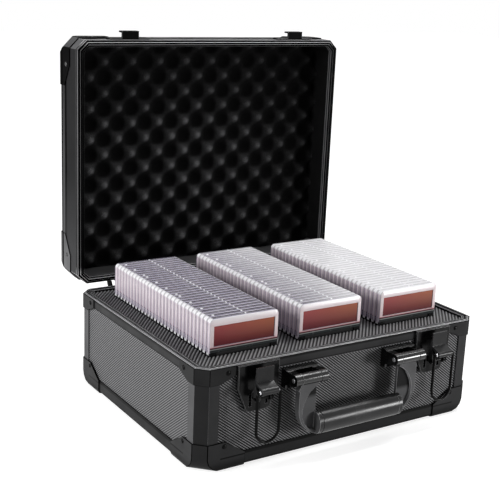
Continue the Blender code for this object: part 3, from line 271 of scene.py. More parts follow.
def coated(name, tone, roughness, grain, relief, gloss, metallic=0.0):
    """Painted, anodised or moulded surface: tone and gloss vary a little over a fine grain."""
    s = Shade(name)
    cloud = s.noise(35, 4.0)
    fine = s.noise(grain)
    body = s.mix(s.between(cloud, 0.35, 0.65), grey(tone * 0.8), grey(tone * 1.2))
    s.set(Base_Color=s.mix(s.between(fine, 0.6, 0.8), body, grey(tone * 1.8)))
    s.set(Roughness=s.between(cloud, 0.3, 0.7, roughness * 0.8, roughness * 1.2))
    s.set(Specular_IOR_Level=gloss, Metallic=metallic)
    s.bump(fine, relief)
    return s.material


def ribbed(name, main, cross, low, high, depth, weave_low):
    """Moulded sheet with slanting ribs, each broken by a fainter weave the other way."""
    s = Shade(name)
    cut = s.between(s.wave(cross, PANEL_PITCH), 0.0, 0.6, weave_low, 1.0)
    height = s.times(s.between(s.wave(main, PANEL_PITCH), 0.35, 0.85), cut)
    dust = s.noise(60, 4.0)
    tone = s.mix(height, grey(low), grey(high))
    s.set(Base_Color=s.mix(s.between(dust, 0.4, 0.75, 0.0, 0.25), tone, grey(high * 0.6)))
    s.set(Roughness=s.between(height, 0.0, 1.0, 0.62, 0.36), Specular_IOR_Level=0.08)
    s.bump(height, depth)
    s.bump(s.noise(2500), 0.00001)
    return s.material


def zoned(name, tone, bands, reach, facet, facet_shading_tone, seam=None, roughness=0.42, gloss=0.06,
          strip=0.0):
    """Coated surface with painted light and shade: its tone follows the height, and one facet has a painted
    tone of its own.

    The bands are pairs of a share of the reach in height and a share of the tone, and hold painted shade and
    painted light. A seam is a function that says where the surface is black, and strip is a painted-light
    tone for the faces that look to the left, towards the lamp there.
    """
    s = Shade(name)
    level = s.ramp(s.share(UPWARD, *reach), greys(bands, tone))
    turned = s.between(s.facing(Vector(facet).normalized()), 0.9, 0.97)
    level = s.mix(turned, level, grey(facet_shading_tone))
    if seam:
        level = s.mix(seam(s), level, grey(0.0003))
    if strip:
        level = s.mix(s.between(s.facing(LEFTWARD), 0.9, 0.97), level, grey(strip))
    cloud = s.noise(35, 4.0)
    s.set(Base_Color=s.mix(s.between(cloud, 0.35, 0.65, 0.0, 0.25), level, grey(0.002)))
    s.set(Roughness=s.between(cloud, 0.3, 0.7, roughness * 0.8, roughness * 1.2))
    s.set(Specular_IOR_Level=gloss)
    s.bump(s.noise(1500), 0.00001)
    return s.material


# Plain coated materials and the ribbed panels

# The first two tones are painted highlights, laid on the bevelled edges of black parts where lamps would
# catch them.
edge_highlight = coated("edge_highlight", 0.14, 0.30, 2200, 0.000008, 0.3)
edge_highlight_bright = coated("edge_highlight_bright", 0.34, 0.25, 2200, 0.000008, 0.5)
plastic_black = coated("plastic_black", 0.013, 0.42, 2200, 0.00002, 0.08)
steel_black = coated("steel_black", 0.005, 0.22, 1800, 0.00001, 0.12)
catch_black = coated("catch_black", 0.002, 0.45, 1800, 0.00001, 0.01)
lever_black = coated("lever_black", 0.018, 0.24, 1800, 0.00001, 0.12)
gloss_black = coated("gloss_black", 0.001, 0.14, 1200, 0.000004, 0.42)
wire_black = coated("wire_black", 0.0005, 0.22, 2500, 0.000008, 0.06)
seam_black = coated("seam_black", 0.0005, 0.5, 900, 0.000008, 0.01)
# The arms' inner walls get a light grey as painted light, where the real walls catch a highlight.
arm_wall_highlight = coated("arm_wall_highlight", 0.30, 0.30, 2600, 0.00001, 0.3)
steel_bright = coated("steel_bright", 0.60, 0.24, 2000, 0.000006, 0.5, 0.9)
handle_black = coated("handle_black", 0.078, 0.36, 2600, 0.00002, 0.12)
grip_black = coated("grip_black", 0.016, 0.24, 1600, 0.00001, 0.20)

WALL_WEAVE = ((PANEL_RUN, 0, PANEL_RISE), (PANEL_RUN, 0, -PANEL_RISE))
SIDE_WEAVE = ((0, PANEL_RUN, PANEL_RISE), (0, PANEL_RUN, -PANEL_RISE))
FLOOR_WEAVE = ((PANEL_RUN, PANEL_RISE, 0), (PANEL_RUN, -PANEL_RISE, 0))
front_ribs = ribbed("front_ribs", *WALL_WEAVE, 0.0, 0.27, 0.0005, 0.45)
side_ribs = ribbed("side_ribs", *SIDE_WEAVE, 0.045, 0.20, 0.0003, 0.85)
floor_ribs = ribbed("floor_ribs", *FLOOR_WEAVE, 0.0, 0.2, 0.0005, 0.45)
lid_ribs = ribbed("lid_ribs", *WALL_WEAVE, 0.0, 0.27, 0.0005, 0.45)


# Rails, posts and caps

def cap_seam(s):
    """Where the rail's seam runs on across the caps of the base, short of their corner."""
    aside = s.minus(RAIL_SEAM_HALF_X, s.operate("ABSOLUTE", s.along(RIGHTWARD)))
    behind = s.operate("ABSOLUTE", s.minus(s.along(BACKWARD), RAIL_SEAM_MIDDLE_Y))
    inward = s.operate("MAXIMUM", aside, s.minus(RAIL_SEAM_HALF_Y, behind))
    seam = s.inside(s.along(UPWARD), *RAIL_SEAM, RAIL_SEAM_BLUR)
    return s.times(s.between(inward, 0.0, 0.001), seam)


def lid_cap_groove(s):
    """Where the groove round the lid runs on across its caps."""
    return s.inside(s.along(BACKWARD), *LID_GROOVE, LID_GROOVE_BLUR)


EVEN = ((0, 1.0), (1, 1.0))
RAIL_SHADE_AND_SEAM_BANDS = ((0, 0.0), (0.22, 0.0), (0.40, 1.0), (0.86, 1.0), (0.90, 0.0), (1, 0.0))
CAP_FOOT_SHADE_BANDS = ((0, 0.0), (0.12, 0.1), (0.35, 0.8), (0.5, 1.0), (1, 1.0))
LID_CAP_PAINTED_LIGHT_BANDS = ((0, 1.0), (0.3, 0.6), (0.6, 0.02), (1, 0.02))
RIM_BANDS = ((0, 0.15), (0.10, 0.2), (0.22, 1.0), (0.62, 1.1), (0.74, 0.2), (0.90, 0.2), (0.97, 1), (1, 1))
RAIL_REACH = (0, 0.015)
POST_REACH = (0, 0.11)
CAP_REACH = (0, 0.031)
RIM_REACH = (0.0974, 0.1094)
LID_CAP_REACH = (0.113, 0.391)

# Painted light and shade: the rails and base caps go black towards the floor as painted shade, with the
# rail's black top line as its seam. The lid caps are painted lighter low down. The posts' faces that look
# left are painted lighter. The facet tones are painted darker on the posts and base caps and lighter on the
# rim and lid caps, by how light falls on them.
post_black = zoned("post_black", 0.034, EVEN, POST_REACH, (-1, -1, 0), 0.018, strip=0.085)
rail_black = zoned("rail_black", 0.018, RAIL_SHADE_AND_SEAM_BANDS, RAIL_REACH, (1, 1, 0), 0.018)
cap_black = zoned("cap_black", 0.028, CAP_FOOT_SHADE_BANDS, CAP_REACH, (-1, -1, 0), 0.020, cap_seam)
lid_cap_black = zoned(
    "lid_cap_black", 0.170, LID_CAP_PAINTED_LIGHT_BANDS, LID_CAP_REACH, (-1, 0, 1), 0.09, lid_cap_groove, 0.36, 0.002
)
rim_black = zoned("rim_black", 0.028, RIM_BANDS, RIM_REACH, (-1, -1, 0), 0.05)

LID_EDGE_HIGHLIGHTS = ((0.0, 0.75), (0.055, 0.6), (0.075, 0.02), (0.97, 0.02), (0.985, 0.8), (1.0, 0.8))
LID_DEPTH_TONES = (
    (0.0, 0.003), (0.012, 0.004), (0.022, 0.16), (0.062, 0.16), (0.075, 0.002), (0.095, 0.002),
    (0.105, 0.14), (0.140, 0.13), (0.155, 0.022), (0.640, 0.020), (0.655, 0.0), (0.735, 0.0),
    (0.750, 0.090), (0.860, 0.080), (0.880, 0.003), (1.0, 0.002),
)
LID_BAND_START = (0.150, 0.160)
LID_BAND_END = (0.640, 0.655)
LID_GROOVE_END = (0.735, 0.750)


def lid_edge_material():
    """Edges of the lid frame: painted highlights at the foot and at the top, and dark between."""
    s = Shade("lid_edge_highlight")
    tone = s.ramp(s.share(UPWARD, LID_FOOT, LID_TOP), greys(LID_EDGE_HIGHLIGHTS))
    fine = s.noise(900)
    s.set(Base_Color=s.mix(s.between(fine, 0.5, 0.8, 0.0, 0.3), tone, grey(0.05)))
    s.set(Roughness=0.35, Specular_IOR_Level=0.1)
    s.bump(fine, 0.000008)
    return s.material


def lid_frame_material():
    """Anodised lid frame: a dark rim face, a light lip with a black seam, a plain band and a groove."""
    s = Shade("lid_frame_black")
    low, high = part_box("lid_frame")
    depth = s.share(BACKWARD, low.y, high.y)
    cloud = s.noise(30, 4.0)
    in_band = s.between(depth, *LID_BAND_START)
    before_groove = s.between(depth, *LID_BAND_END, 1.0, 0.0)
    past_groove = s.between(depth, *LID_GROOVE_END)
    tone = s.mix(s.between(cloud, 0.3, 0.7, 0.0, 0.3), s.ramp(depth, greys(LID_DEPTH_TONES)), grey(0.01))
    # Painted shade: past the groove the frame goes darker high up.
    shade_high_up = s.between(s.along(UPWARD), 0.20, 0.37, 0.0, 0.7)
    tone = s.mix(s.times(shade_high_up, past_groove), tone, grey(0.006))
    # Painted light: the plain band is lighter near the foot, standing in for light from the white floor.
    foot = s.between(s.along(UPWARD), 0.13, 0.24, 0.28, 0.0)
    tone = s.mix(s.times(foot, in_band), tone, grey(0.14))
    # Painted highlight on the chamfer facet that looks up and to the left.
    facet = s.between(s.facing((-0.707, 0, 0.707)), 0.93, 0.98)
    tone = s.mix(s.times(facet, before_groove), tone, grey(0.11))
    ahead = s.between(s.facing(FORWARD), 0.5, 0.8)
    s.set(Base_Color=s.mix(ahead, tone, grey(0.001)))
    s.set(Roughness=s.between(cloud, 0.3, 0.7, 0.32, 0.46), Specular_IOR_Level=0.002)
    s.bump(s.noise(900, 2.0, (1, 12, 1)), 0.000008)
    return s.material


# Lining, foams and the handle's scoop

def lining_material():
    """Felted lid lining, with painted light making the ledge that faces up greyer."""
    s = Shade("lining_black")
    fibre = s.noise(2600, 3.0)
    cloud = s.noise(40, 3.0)
    # Painted light on the faces that look up.
    ledge = s.between(s.facing(UPWARD), 0.3, 0.8)
    tone = s.mix(ledge, s.mix(cloud, grey(0.002), grey(0.006)), s.mix(cloud, grey(0.045), grey(0.075)))
    s.set(Base_Color=s.mix(s.between(fibre, 0.5, 0.8, 0.0, 0.4), tone, grey(0.01)))
    s.set(Roughness=0.7, Specular_IOR_Level=0.05)
    s.bump(fibre, 0.00004)
    return s.material


SCOOP_SHADE = (0.0190, 0.0235)
RIGHT_SHADE_LONGER = 0.013


def scoop_material():
    """Hollow face of the handle's arms: grey, with a painted shadow in black under its overhang, reaching
    further down on the right.
    """
    s = Shade("handle_scoop")
    low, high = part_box("handle_pin_left")
    drop = s.minus((low.z + high.z) / 2, s.along(UPWARD))
    drop = s.minus(drop, s.between(s.along(RIGHTWARD), -0.01, 0.01, 0.0, RIGHT_SHADE_LONGER))
    fine = s.noise(2600)
    tone = s.mix(s.between(drop, *SCOOP_SHADE), grey(0.001), grey(0.070))
    s.set(Base_Color=s.mix(s.between(fine, 0.6, 0.8, 0.0, 0.4), tone, grey(0.03)))
    s.set(Roughness=0.4, Specular_IOR_Level=0.08)
    s.bump(fine, 0.00002)
    return s.material


def insert_material():
    """Dark foam top with painted light on its rib crests."""
    s = Shade("insert_foam")
    crest_light = s.between(s.along(UPWARD), INSERT_TOP - RIB_DEPTH, INSERT_TOP - RIB_DEPTH * 0.1)
    fine = s.noise(1400, 3.0)
    tone = s.mix(crest_light, grey(0.006), grey(0.24))
    s.set(Base_Color=s.mix(s.between(fine, 0.5, 0.75, 0.0, 0.5), tone, grey(0.03)))
    s.set(Roughness=0.62, Specular_IOR_Level=0.15)
    s.bump(fine, 0.0001)
    return s.material


CRATE_HIGHLIGHT_SHARES = ((0.0, 1.0), (0.07, 0.70), (0.25, 0.30), (0.50, 0.15), (0.62, 0.04), (0.72, 0.0))


def foam_material():
    """Open-cell foam: dark pores, painted highlights on the tips and painted shade in the hollows, the
    highlights brightest at the left, low down and on faces turned to the front left.
    """
    s = Shade("lid_foam_cells")
    sunk = s.minus(s.along(BACKWARD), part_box("lid_foam")[0].y)
    tip_highlight = s.ramp(s.times(sunk, 1 / CRATE_HEIGHT), greys(CRATE_HIGHLIGHT_SHARES, blue=1.0))
    pores = s.noise(1500, 3.0)
    grain = s.times(tip_highlight, s.between(pores, 0.35, 0.7, 0.35, 1.5))
    light_from_left = s.between(s.along(RIGHTWARD), -0.02, 0.15, 1.0, 0.25)
    light_low_down = s.between(s.along(UPWARD), 0.27, 0.37, 1.0, 0.45)
    grain = s.times(grain, s.times(light_from_left, light_low_down))
    grain = s.times(grain, s.between(s.facing((-0.50, -0.75, 0.43)), 0.35, 0.95, 0.10, 1.35))
    s.set(Base_Color=s.mix(grain, grey(0.0004), grey(0.100)))
    s.set(Roughness=0.9, Specular_IOR_Level=0.05)
    s.bump(pores, 0.0004)
    return s.material


# The card slabs: tones over the thickness of one slab, and over what stands above the insert

DARK_TOP = (
    (0.0, (0.50, 0.47, 0.56)), (0.20, (0.22, 0.20, 0.27)), (0.40, (0.03, 0.027, 0.045)),
    (0.65, (0.03, 0.027, 0.045)), (0.85, (0.20, 0.18, 0.25)), (1.0, (0.50, 0.47, 0.56)),
)
REFLECTING_TOP = (
    (0.0, (0.84, 0.84, 0.86)), (0.25, (0.80, 0.80, 0.82)), (0.50, (0.64, 0.63, 0.67)),
    (0.75, (0.78, 0.78, 0.80)), (1.0, (0.84, 0.84, 0.86)),
)
SLAB_SIDE = (
    (0.0, (0.20, 0.18, 0.22)), (0.20, (0.56, 0.50, 0.54)), (0.45, (0.64, 0.58, 0.62)),
    (0.70, (0.36, 0.32, 0.38)), (0.90, (0.18, 0.15, 0.21)), (1.0, (0.10, 0.08, 0.13)),
)
SLAB_BEAD = ((0.0, 0.20), (0.15, 0.70), (0.45, 0.88), (0.75, 0.80), (1.0, 0.12))
# Tones up the front of a slab: the black foot is painted shade from the insert's mouth.
SLAB_FRONT = (
    (0.0, (0.002, 0.002, 0.002)), (0.09, (0.003, 0.004, 0.004)), (0.105, (0.03, 0.035, 0.035)),
    (0.155, (0.012, 0.015, 0.018)), (0.165, (0.26, 0.27, 0.26)), (0.180, (0.22, 0.23, 0.22)),
    (0.190, (0.05, 0.008, 0.015)), (0.215, (0.06, 0.010, 0.018)), (0.228, (0.52, 0.27, 0.29)),
    (0.255, (0.66, 0.52, 0.54)), (0.78, (0.74, 0.66, 0.67)), (0.83, (0.70, 0.60, 0.62)),
    (1.0, (0.76, 0.73, 0.76)),
)
REFLECTION_BLEND_HALF = 0.05855


def slab_top(s, place):
    """Tops of the slabs: dark with light lines in the left row and, as a painted reflection, light all over
    in the right one.
    """
    streak = s.noise(150, 2.0, (0.12, 1.0, 0.1))
    row = s.between(s.along(RIGHTWARD), -REFLECTION_BLEND_HALF, REFLECTION_BLEND_HALF)
    share = s.operate("ADD", row, s.times(s.minus(streak, 0.5), 0.5), True)
    return s.mix(share, s.ramp(place, DARK_TOP), s.ramp(place, REFLECTING_TOP))


def slab_foot_shadow_and_glints(s, place, rise):
    """Painted shadow at the foot of the slabs' sides, with a painted glint on each slab."""
    aside = s.operate("ABSOLUTE", s.minus(place, 0.5))
    dot = s.times(s.between(aside, 0.18, 0.26, 1.0, 0.0), s.between(rise, 0.015, 0.035))
    return s.mix(dot, grey(0.002), grey(0.85))


def acrylic_material():
    """Clear card slab shells in a row: milky walls with fine light and dark lines across the pack, painted
    highlights on the rounded edges and nubs, and painted shade at the foot.
    """
    s = Shade("slab_acrylic")
    low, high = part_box("front_slab_left")
    place = s.operate("FRACT", s.times(s.minus(s.along(BACKWARD), low.y), 1 / SLAB_PITCH))
    rise = s.share(UPWARD, INSERT_TOP, high.z)
    side = s.mix(s.between(rise, 0.0, 0.6, 0.45, 0.0), s.ramp(place, SLAB_SIDE), (0.24, 0.23, 0.31))
    tone = s.mix(s.between(s.facing(UPWARD), 0.45, 0.8), side, slab_top(s, place))
    # Painted highlight on the rounded edges between the top and the sides.
    bevel = s.times(s.operate("ABSOLUTE", s.facing(RIGHTWARD)), s.facing(UPWARD))
    tone = s.mix(s.between(bevel, 0.12, 0.38), tone, s.ramp(place, greys(SLAB_BEAD)))
    ahead = s.between(s.facing(FORWARD), 0.6, 0.85)
    tone = s.mix(ahead, tone, s.ramp(rise, SLAB_FRONT))
    # Painted glint: the nubs on top are near white.
    nub = s.between(s.along(UPWARD), high.z + 0.0001, high.z + 0.0002)
    tone = s.mix(nub, tone, grey(0.92))
    # Painted shadow with glints at the foot of the sides, just above the insert.
    foot = s.between(rise, 0.07, 0.10, 1.0, 0.0)
    tone = s.mix(s.times(foot, s.minus(1.0, ahead)), tone, slab_foot_shadow_and_glints(s, place, rise))
    sunk = s.between(rise, -0.10, -0.03, 1.0, 0.0)
    tone = s.mix(sunk, tone, s.mix(ahead, side, (0.60, 0.57, 0.60)))
    cloud = s.noise(160, 3.0, (1.0, 4.0, 1.0))
    s.set(Base_Color=tone, Roughness=s.between(cloud, 0.3, 0.7, 0.14, 0.30))
    s.set(IOR=1.49, Specular_IOR_Level=0.3)
    return s.material


def label_material():
    """Printed card strip: orange-brown in its upper right, red in its upper left, wine red below."""
    s = Shade("slab_label_paper")
    low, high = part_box("slab_label_middle")
    width = high.x - low.x
    pitch = (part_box("slab_label_right")[0].x - low.x) / width
    labels = s.times(s.share(RIGHTWARD, low.x, high.x), 1 / pitch)
    run = s.times(s.operate("FRACT", s.operate("ADD", labels, 2.0)), pitch)
    fibre = s.noise(1200, 4.0)
    upper = s.mix(s.between(run, 0.1, 0.9), (0.26, 0.035, 0.035), (0.29, 0.070, 0.026))
    rise = s.share(UPWARD, low.z, high.z)
    share = s.between(s.operate("ADD", rise, s.times(fibre, 0.15)), 0.05, 1.0)
    s.set(Base_Color=s.mix(share, (0.075, 0.004, 0.010), upper))
    s.set(Roughness=0.35, Specular_IOR_Level=0.2, Coat_Weight=0.1, Coat_Roughness=0.06)
    s.bump(fibre, 0.00001)
    return s.material


def window_material():
    """Bare card behind a slab's window, dark where the insert's mouth shades it."""
    s = Shade("slab_window")
    shade = s.between(s.along(UPWARD), INSERT_TOP - 0.006, INSERT_TOP - 0.002)
    fibre = s.noise(1200, 3.0)
    card = s.mix(fibre, (0.34, 0.34, 0.37), (0.44, 0.44, 0.47))
    s.set(Base_Color=s.mix(shade, card, grey(0.03)))
    s.set(Roughness=0.2, Specular_IOR_Level=0.4)
    s.bump(fibre, 0.000005)
    return s.material


lid_black = lid_frame_material()
lid_edge_highlight = lid_edge_material()
lining_black = lining_material()
handle_scoop = scoop_material()
insert_foam = insert_material()
lid_cells = foam_material()
acrylic = acrylic_material()
label_paper = label_material()
window_clear = window_material()


# The frame's own nodes

def dress(node, material, bevel=0.0003, angle=30.0, bevel_material=None):
    """Weld a CAD node's split mesh, break its edges and give it a material, and its edges another: mostly a
    painted highlight, and a black seam on the caps and brackets.
    """
    obj = nodes[node]
    mesh = obj.data
    if "custom_normal" in mesh.attributes:
        mesh.attributes.remove(mesh.attributes["custom_normal"])
    mesh.shade_smooth()
    mesh.materials.clear()
    mesh.materials.append(material)
    weld = obj.modifiers.new("weld", "WELD")
    weld.merge_threshold = 0.00001
    edge = obj.modifiers.new("edge", "BEVEL")
    edge.width = bevel
    edge.segments = 2
    edge.limit_method = "ANGLE"
    edge.angle_limit = math.radians(angle)
    edge.harden_normals = True
    edge.use_clamp_overlap = True
    if bevel_material:
        mesh.materials.append(bevel_material)
        edge.material = 1


WIRE_SWELL = 0.0003


def dress_wire(node):
    """A wire loop, a little stouter than its solid."""
    dress(node, wire_black, 0.0001, 50)
    swell = nodes[node].modifiers.new("swell", "DISPLACE")
    swell.mid_level = 0.0
    swell.strength = WIRE_SWELL


dress("bottom_rail", rail_black)
dress("base_rim", rim_black, bevel_material=edge_highlight_bright)
dress("lid_frame", lid_black, bevel_material=lid_edge_highlight)
for place, side in CORNERS:
    dress(f"corner_post_{place}_{side}", post_black, 0.0003, 20, edge_highlight)
    dress(f"rim_bracket_{place}_{side}", plastic_black, 0.0004, bevel_material=seam_black)
    dress(f"base_cap_{place}_{side}", cap_black, 0.0005, bevel_material=seam_black)
    dress(f"lid_cap_{place}_{side}", lid_cap_black, 0.0005, bevel_material=seam_black)
dress("front_panel", front_ribs)
dress("back_panel", front_ribs)
dress("left_panel", side_ribs)
dress("right_panel", side_ribs)
dress("floor_panel", floor_ribs)
dress("lid_panel", lid_ribs)
dress("lid_lining", lining_black)
dress("handle_grip", grip_black, 0.0006)
for side in SIDES:
    dress(f"lid_catch_{side}", catch_black, 0.0002, bevel_material=edge_highlight)
    dress(f"latch_plate_{side}", steel_black, 0.0002, bevel_material=edge_highlight)
    dress(f"latch_lever_{side}", lever_black, 0.0002, bevel_material=edge_highlight)
    dress(f"latch_pin_{side}", wire_black, 0.0002)
    dress_wire(f"latch_bail_{side}")
    dress(f"handle_mount_{side}", gloss_black, 0.0004, bevel_material=edge_highlight)
    dress(f"handle_pin_{side}", steel_bright, 0.0003)
    dress(f"hinge_leaf_base_{side}", catch_black, 0.0002)
    dress(f"hinge_leaf_lid_{side}", catch_black, 0.0002)
    dress(f"hinge_pin_{side}", steel_bright, 0.0002)
for row in ROWS:
    dress(f"slab_label_{row}", label_paper, 0.0001)


# Short ways to make forms

def mesh_object(name, bm):
    """An object in the scene with a built form as its mesh, faces outwards."""
    bmesh.ops.recalc_face_normals(bm, faces=bm.faces)
    mesh = bpy.data.meshes.new(name)
    bm.to_mesh(mesh)
    bm.free()
    obj = bpy.data.objects.new(name, mesh)
    bpy.context.scene.collection.objects.link(obj)
    return obj


def new_piece(name, bm, body, slot, *materials, smooth):
    """Turn a built form into a piece that rides on a body."""
    obj = mesh_object(name, bm)
    for material in materials:
        obj.data.materials.append(material)
    obj.data.shade_smooth()
    obj.data.set_sharp_from_angle(angle=math.radians(smooth))
    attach(obj, body)
    return obj


def pulled_block(corners, pull):
    """A flat face through some corners, pulled out into a block."""
    bm = bmesh.new()
    face = bm.faces.new([bm.verts.new(corner) for corner in corners])
    pulled = bmesh.ops.extrude_face_region(bm, geom=[face])["geom"]
    moved = [item for item in pulled if isinstance(item, bmesh.types.BMVert)]
    bmesh.ops.translate(bm, verts=moved, vec=pull)
    return bm


def prism(outline, low, high):
    """An outline in X and Y pulled up from one height to another."""
    return pulled_block([(x, y, low) for x, y in outline], (0, 0, high - low))


def side_prism(outline, low, high):
    """An outline in X and Z pulled through from one Y to another."""
    return pulled_block([(x, low, z) for x, z in outline], (0, high - low, 0))


def carved(base, steps):
    """Mesh of a base after a row of (operation, cutter) steps. None of them is kept."""
    for operation, tool in steps:
        modifier = base.modifiers.new(operation, "BOOLEAN")
        modifier.operation = operation
        modifier.object = tool
        modifier.solver = "EXACT"
    bpy.context.view_layer.update()
    graph = bpy.context.evaluated_depsgraph_get()
    bm = bmesh.new()
    bm.from_mesh(base.evaluated_get(graph).to_mesh())
    for loose in [base] + [tool for operation, tool in steps]:
        bpy.data.objects.remove(loose, do_unlink=True)
    return bm


def joined_rings(bm, rings):
    """Skin a row of rings of points with four-sided faces."""
    for near, far in zip(rings, rings[1:]):
        for i in range(len(near)):
            bm.faces.new((near[i - 1], near[i], far[i], far[i - 1]))


def add_ball(bm, place, radius, shape, segments, rings):
    """A round bead, stretched along X, Y and Z by its shape."""
    matrix = Matrix.Translation(place) @ Matrix.Diagonal((*shape, 1.0))
    bmesh.ops.create_uvsphere(bm, u_segments=segments, v_segments=rings, radius=radius, matrix=matrix)


# The lid's egg-crate foam

CRATE_PERIOD_X = 0.03535
CRATE_PERIOD_Z = 0.03584
CRATE_PHASE_X = 0.01217
CRATE_PHASE_Z = 0.00547
CRATE_STEPS = 14
CRATE_SHARPNESS = 1.15
FOAM_FACET = 0.0059


def crate_face(x, z, low_y):
    """How far back the foam's face lies: staggered round peaks with hollows between."""
    u = 2 * math.pi * (x - CRATE_PHASE_X) / CRATE_PERIOD_X
    v = 2 * math.pi * (z - CRATE_PHASE_Z) / CRATE_PERIOD_Z
    wave = (math.cos(u) * math.cos(v) + 1) / 2
    return low_y + CRATE_HEIGHT * (1 - wave ** CRATE_SHARPNESS)


def close_back(bm, y):
    """Pull a sheet's open border to a plane at the back and cap it there."""
    border = [edge for edge in bm.edges if edge.is_boundary]
    pulled = bmesh.ops.extrude_edge_only(bm, edges=border)["geom"]
    for vertex in pulled:
        if isinstance(vertex, bmesh.types.BMVert):
            vertex.co.y = y
    rim = [edge for edge in pulled if isinstance(edge, bmesh.types.BMEdge) and edge.is_boundary]
    bmesh.ops.triangle_fill(bm, edges=rim, use_beauty=True)


def make_lid_foam():
    """Egg-crate foam in the lid, with a flat back and its corners cut off."""
    low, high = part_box("lid_foam")
    step = CRATE_PERIOD_X / CRATE_STEPS
    columns = round((high.x - low.x) / step)
    rows = round((high.z - low.z) / step)
    bm = bmesh.new()
    grid = []
    for row in range(rows + 1):
        z = low.z + (high.z - low.z) * row / rows
        line = []
        for column in range(columns + 1):
            x = low.x + (high.x - low.x) * column / columns
            line.append(bm.verts.new((x, crate_face(x, z, low.y), z)))
        grid.append(line)
    for lower, upper in zip(grid, grid[1:]):
        for i in range(columns):
            bm.faces.new((lower[i], lower[i + 1], upper[i + 1], upper[i]))
    for x, x_way in ((low.x + FOAM_FACET, -1), (high.x - FOAM_FACET, 1)):
        for z, z_way in ((low.z, -1), (high.z, 1)):
            everything = bm.verts[:] + bm.edges[:] + bm.faces[:]
            bmesh.ops.bisect_plane(
                bm, geom=everything, plane_co=(x, 0, z), plane_no=(x_way, 0, z_way), clear_outer=True
            )
    close_back(bm, high.y)
    foam = new_piece("lid_egg_crate_foam", bm, "lid", "dark_foam", lid_cells, smooth=60)
    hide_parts("lid_foam")
    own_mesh(foam)


# The insert

RIB_PITCH = 0.0035
RIB_TURN = math.radians(50.0)
RIB_FORM = ((0.0, 0.0), (0.16, 0.55), (0.28, 0.95), (0.40, 1.0), (0.50, 0.85), (0.62, 0.30), (0.72, 0.0))
INSERT_FACET = 0.0077
SLOT_EASE = 0.0006
SLOT_EASE_BACK = 3 * SLOT_EASE


def ribbed_block(low, high):
    """A block wider than the insert, with its ribs on top."""
    reach = (high - low).to_2d().length / 2 + RIB_PITCH
    count = math.ceil(reach / RIB_PITCH)
    profile = []
    for rib in range(-count, count):
        for share, lift in RIB_FORM:
            profile.append(((rib + share) * RIB_PITCH, high.z - RIB_DEPTH * (1 - lift)))
    profile.append((profile[-1][0], low.z))
    profile.append((profile[0][0], low.z))
    run = Vector((math.cos(RIB_TURN), math.sin(RIB_TURN), 0))
    over = Vector((run.y, -run.x, 0))
    middle = (low + high) / 2
    start = Vector((middle.x, middle.y, 0)) - run * reach
    return pulled_block([start + over * a + Vector((0, 0, z)) for a, z in profile], run * reach * 2)


def insert_outline(low, high):
    """The insert's outline in X and Y, with its corners cut off."""
    facet = INSERT_FACET
    return [
        (low.x + facet, low.y), (high.x - facet, low.y), (high.x, low.y + facet), (high.x, high.y - facet),
        (high.x - facet, high.y), (low.x + facet, high.y), (low.x, high.y - facet), (low.x, low.y + facet),
    ]


def make_insert():
    """Foam insert with slanting ribs across its top and a slot for each row."""
    low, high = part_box("foam_insert")
    block = mesh_object("ribbed_block", ribbed_block(low, high))
    above = high.z + RIB_DEPTH
    outline = prism(insert_outline(low, high), low.z - RIB_DEPTH, above)
    steps = [("INTERSECT", mesh_object("outline", outline))]
    for name in ROWS:
        first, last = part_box(f"front_slab_{name}")[0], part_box(f"slab_stack_{name}")[1]
        west, east = first.x - SLOT_EASE, last.x + SLOT_EASE
        south, north = first.y - SLOT_EASE, last.y + SLOT_EASE_BACK
        mouth = [(west, south), (east, south), (east, north), (west, north)]
        slot = prism(mouth, first.z - SLOT_EASE, above)
        steps.append(("DIFFERENCE", mesh_object(name, slot)))
    bm = carved(block, steps)
    insert = new_piece("ribbed_foam_insert", bm, "base", "dark_foam", insert_foam, smooth=40)
    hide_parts("foam_insert")


# The slabs

SLAB_THICKNESS = 0.0071
SLAB_CORNER = 0.0048
SLAB_CORNER_STEPS = 5
SLAB_FORM = (
    (0.0, 0.0009), (0.0003, 0.0003), (0.0009, 0.0), (0.0032, 0.0), (0.0034, 0.0005),
    (0.0037, 0.0005), (0.0039, 0.0), (0.0062, 0.0), (0.0068, 0.0003), (0.0071, 0.0009),
)
WINDOW_HALF = 0.032
WINDOW_LOW = 0.010
WINDOW_HIGH = 0.100
WELL_DEPTH = 0.0014
LABEL_EASE = 0.0004
NUB_RADIUS = 0.0011
NUB_SUNK = 0.4
NUB_X, SECOND_NUB_X = 0.002, -0.031
NUB_SHAPE = (1.0, 1.4, 1.0)
SECOND_NUB_SHAPE = (1.8, 1.4, 1.0)
NUB_SEGMENTS, NUB_RINGS = 8, 6


def slab_outline(low, high, inset):
    """Rounded outline of a slab in X and Z, drawn in from its box."""
    r = SLAB_CORNER - inset
    places = (
        (high.x - SLAB_CORNER, high.z - SLAB_CORNER, 0), (low.x + SLAB_CORNER, high.z - SLAB_CORNER, 1),
        (low.x + SLAB_CORNER, low.z + SLAB_CORNER, 2), (high.x - SLAB_CORNER, low.z + SLAB_CORNER, 3),
    )
    outline = []
    for x, z, quarter in places:
        for step in range(SLAB_CORNER_STEPS + 1):
            turn = math.pi / 2 * (quarter + step / SLAB_CORNER_STEPS)
            outline.append((x + r * math.cos(turn), z + r * math.sin(turn)))
    return outline


def well(bm, west, east, low, high, y, index):
    """Four walls and the floor of a sunk rectangle. Returns its rim's edges."""
    outline = ((west, low), (east, low), (east, high), (west, high))
    rim = [bm.verts.new((x, y, z)) for x, z in outline]
    bed = [bm.verts.new((x, y + WELL_DEPTH, z)) for x, z in outline]
    for i in range(4):
        bm.faces.new((rim[i], rim[i - 1], bed[i - 1], bed[i]))
    bm.faces.new(bed).material_index = index
    return [bm.edges.get((rim[i], rim[i - 1])) for i in range(4)]


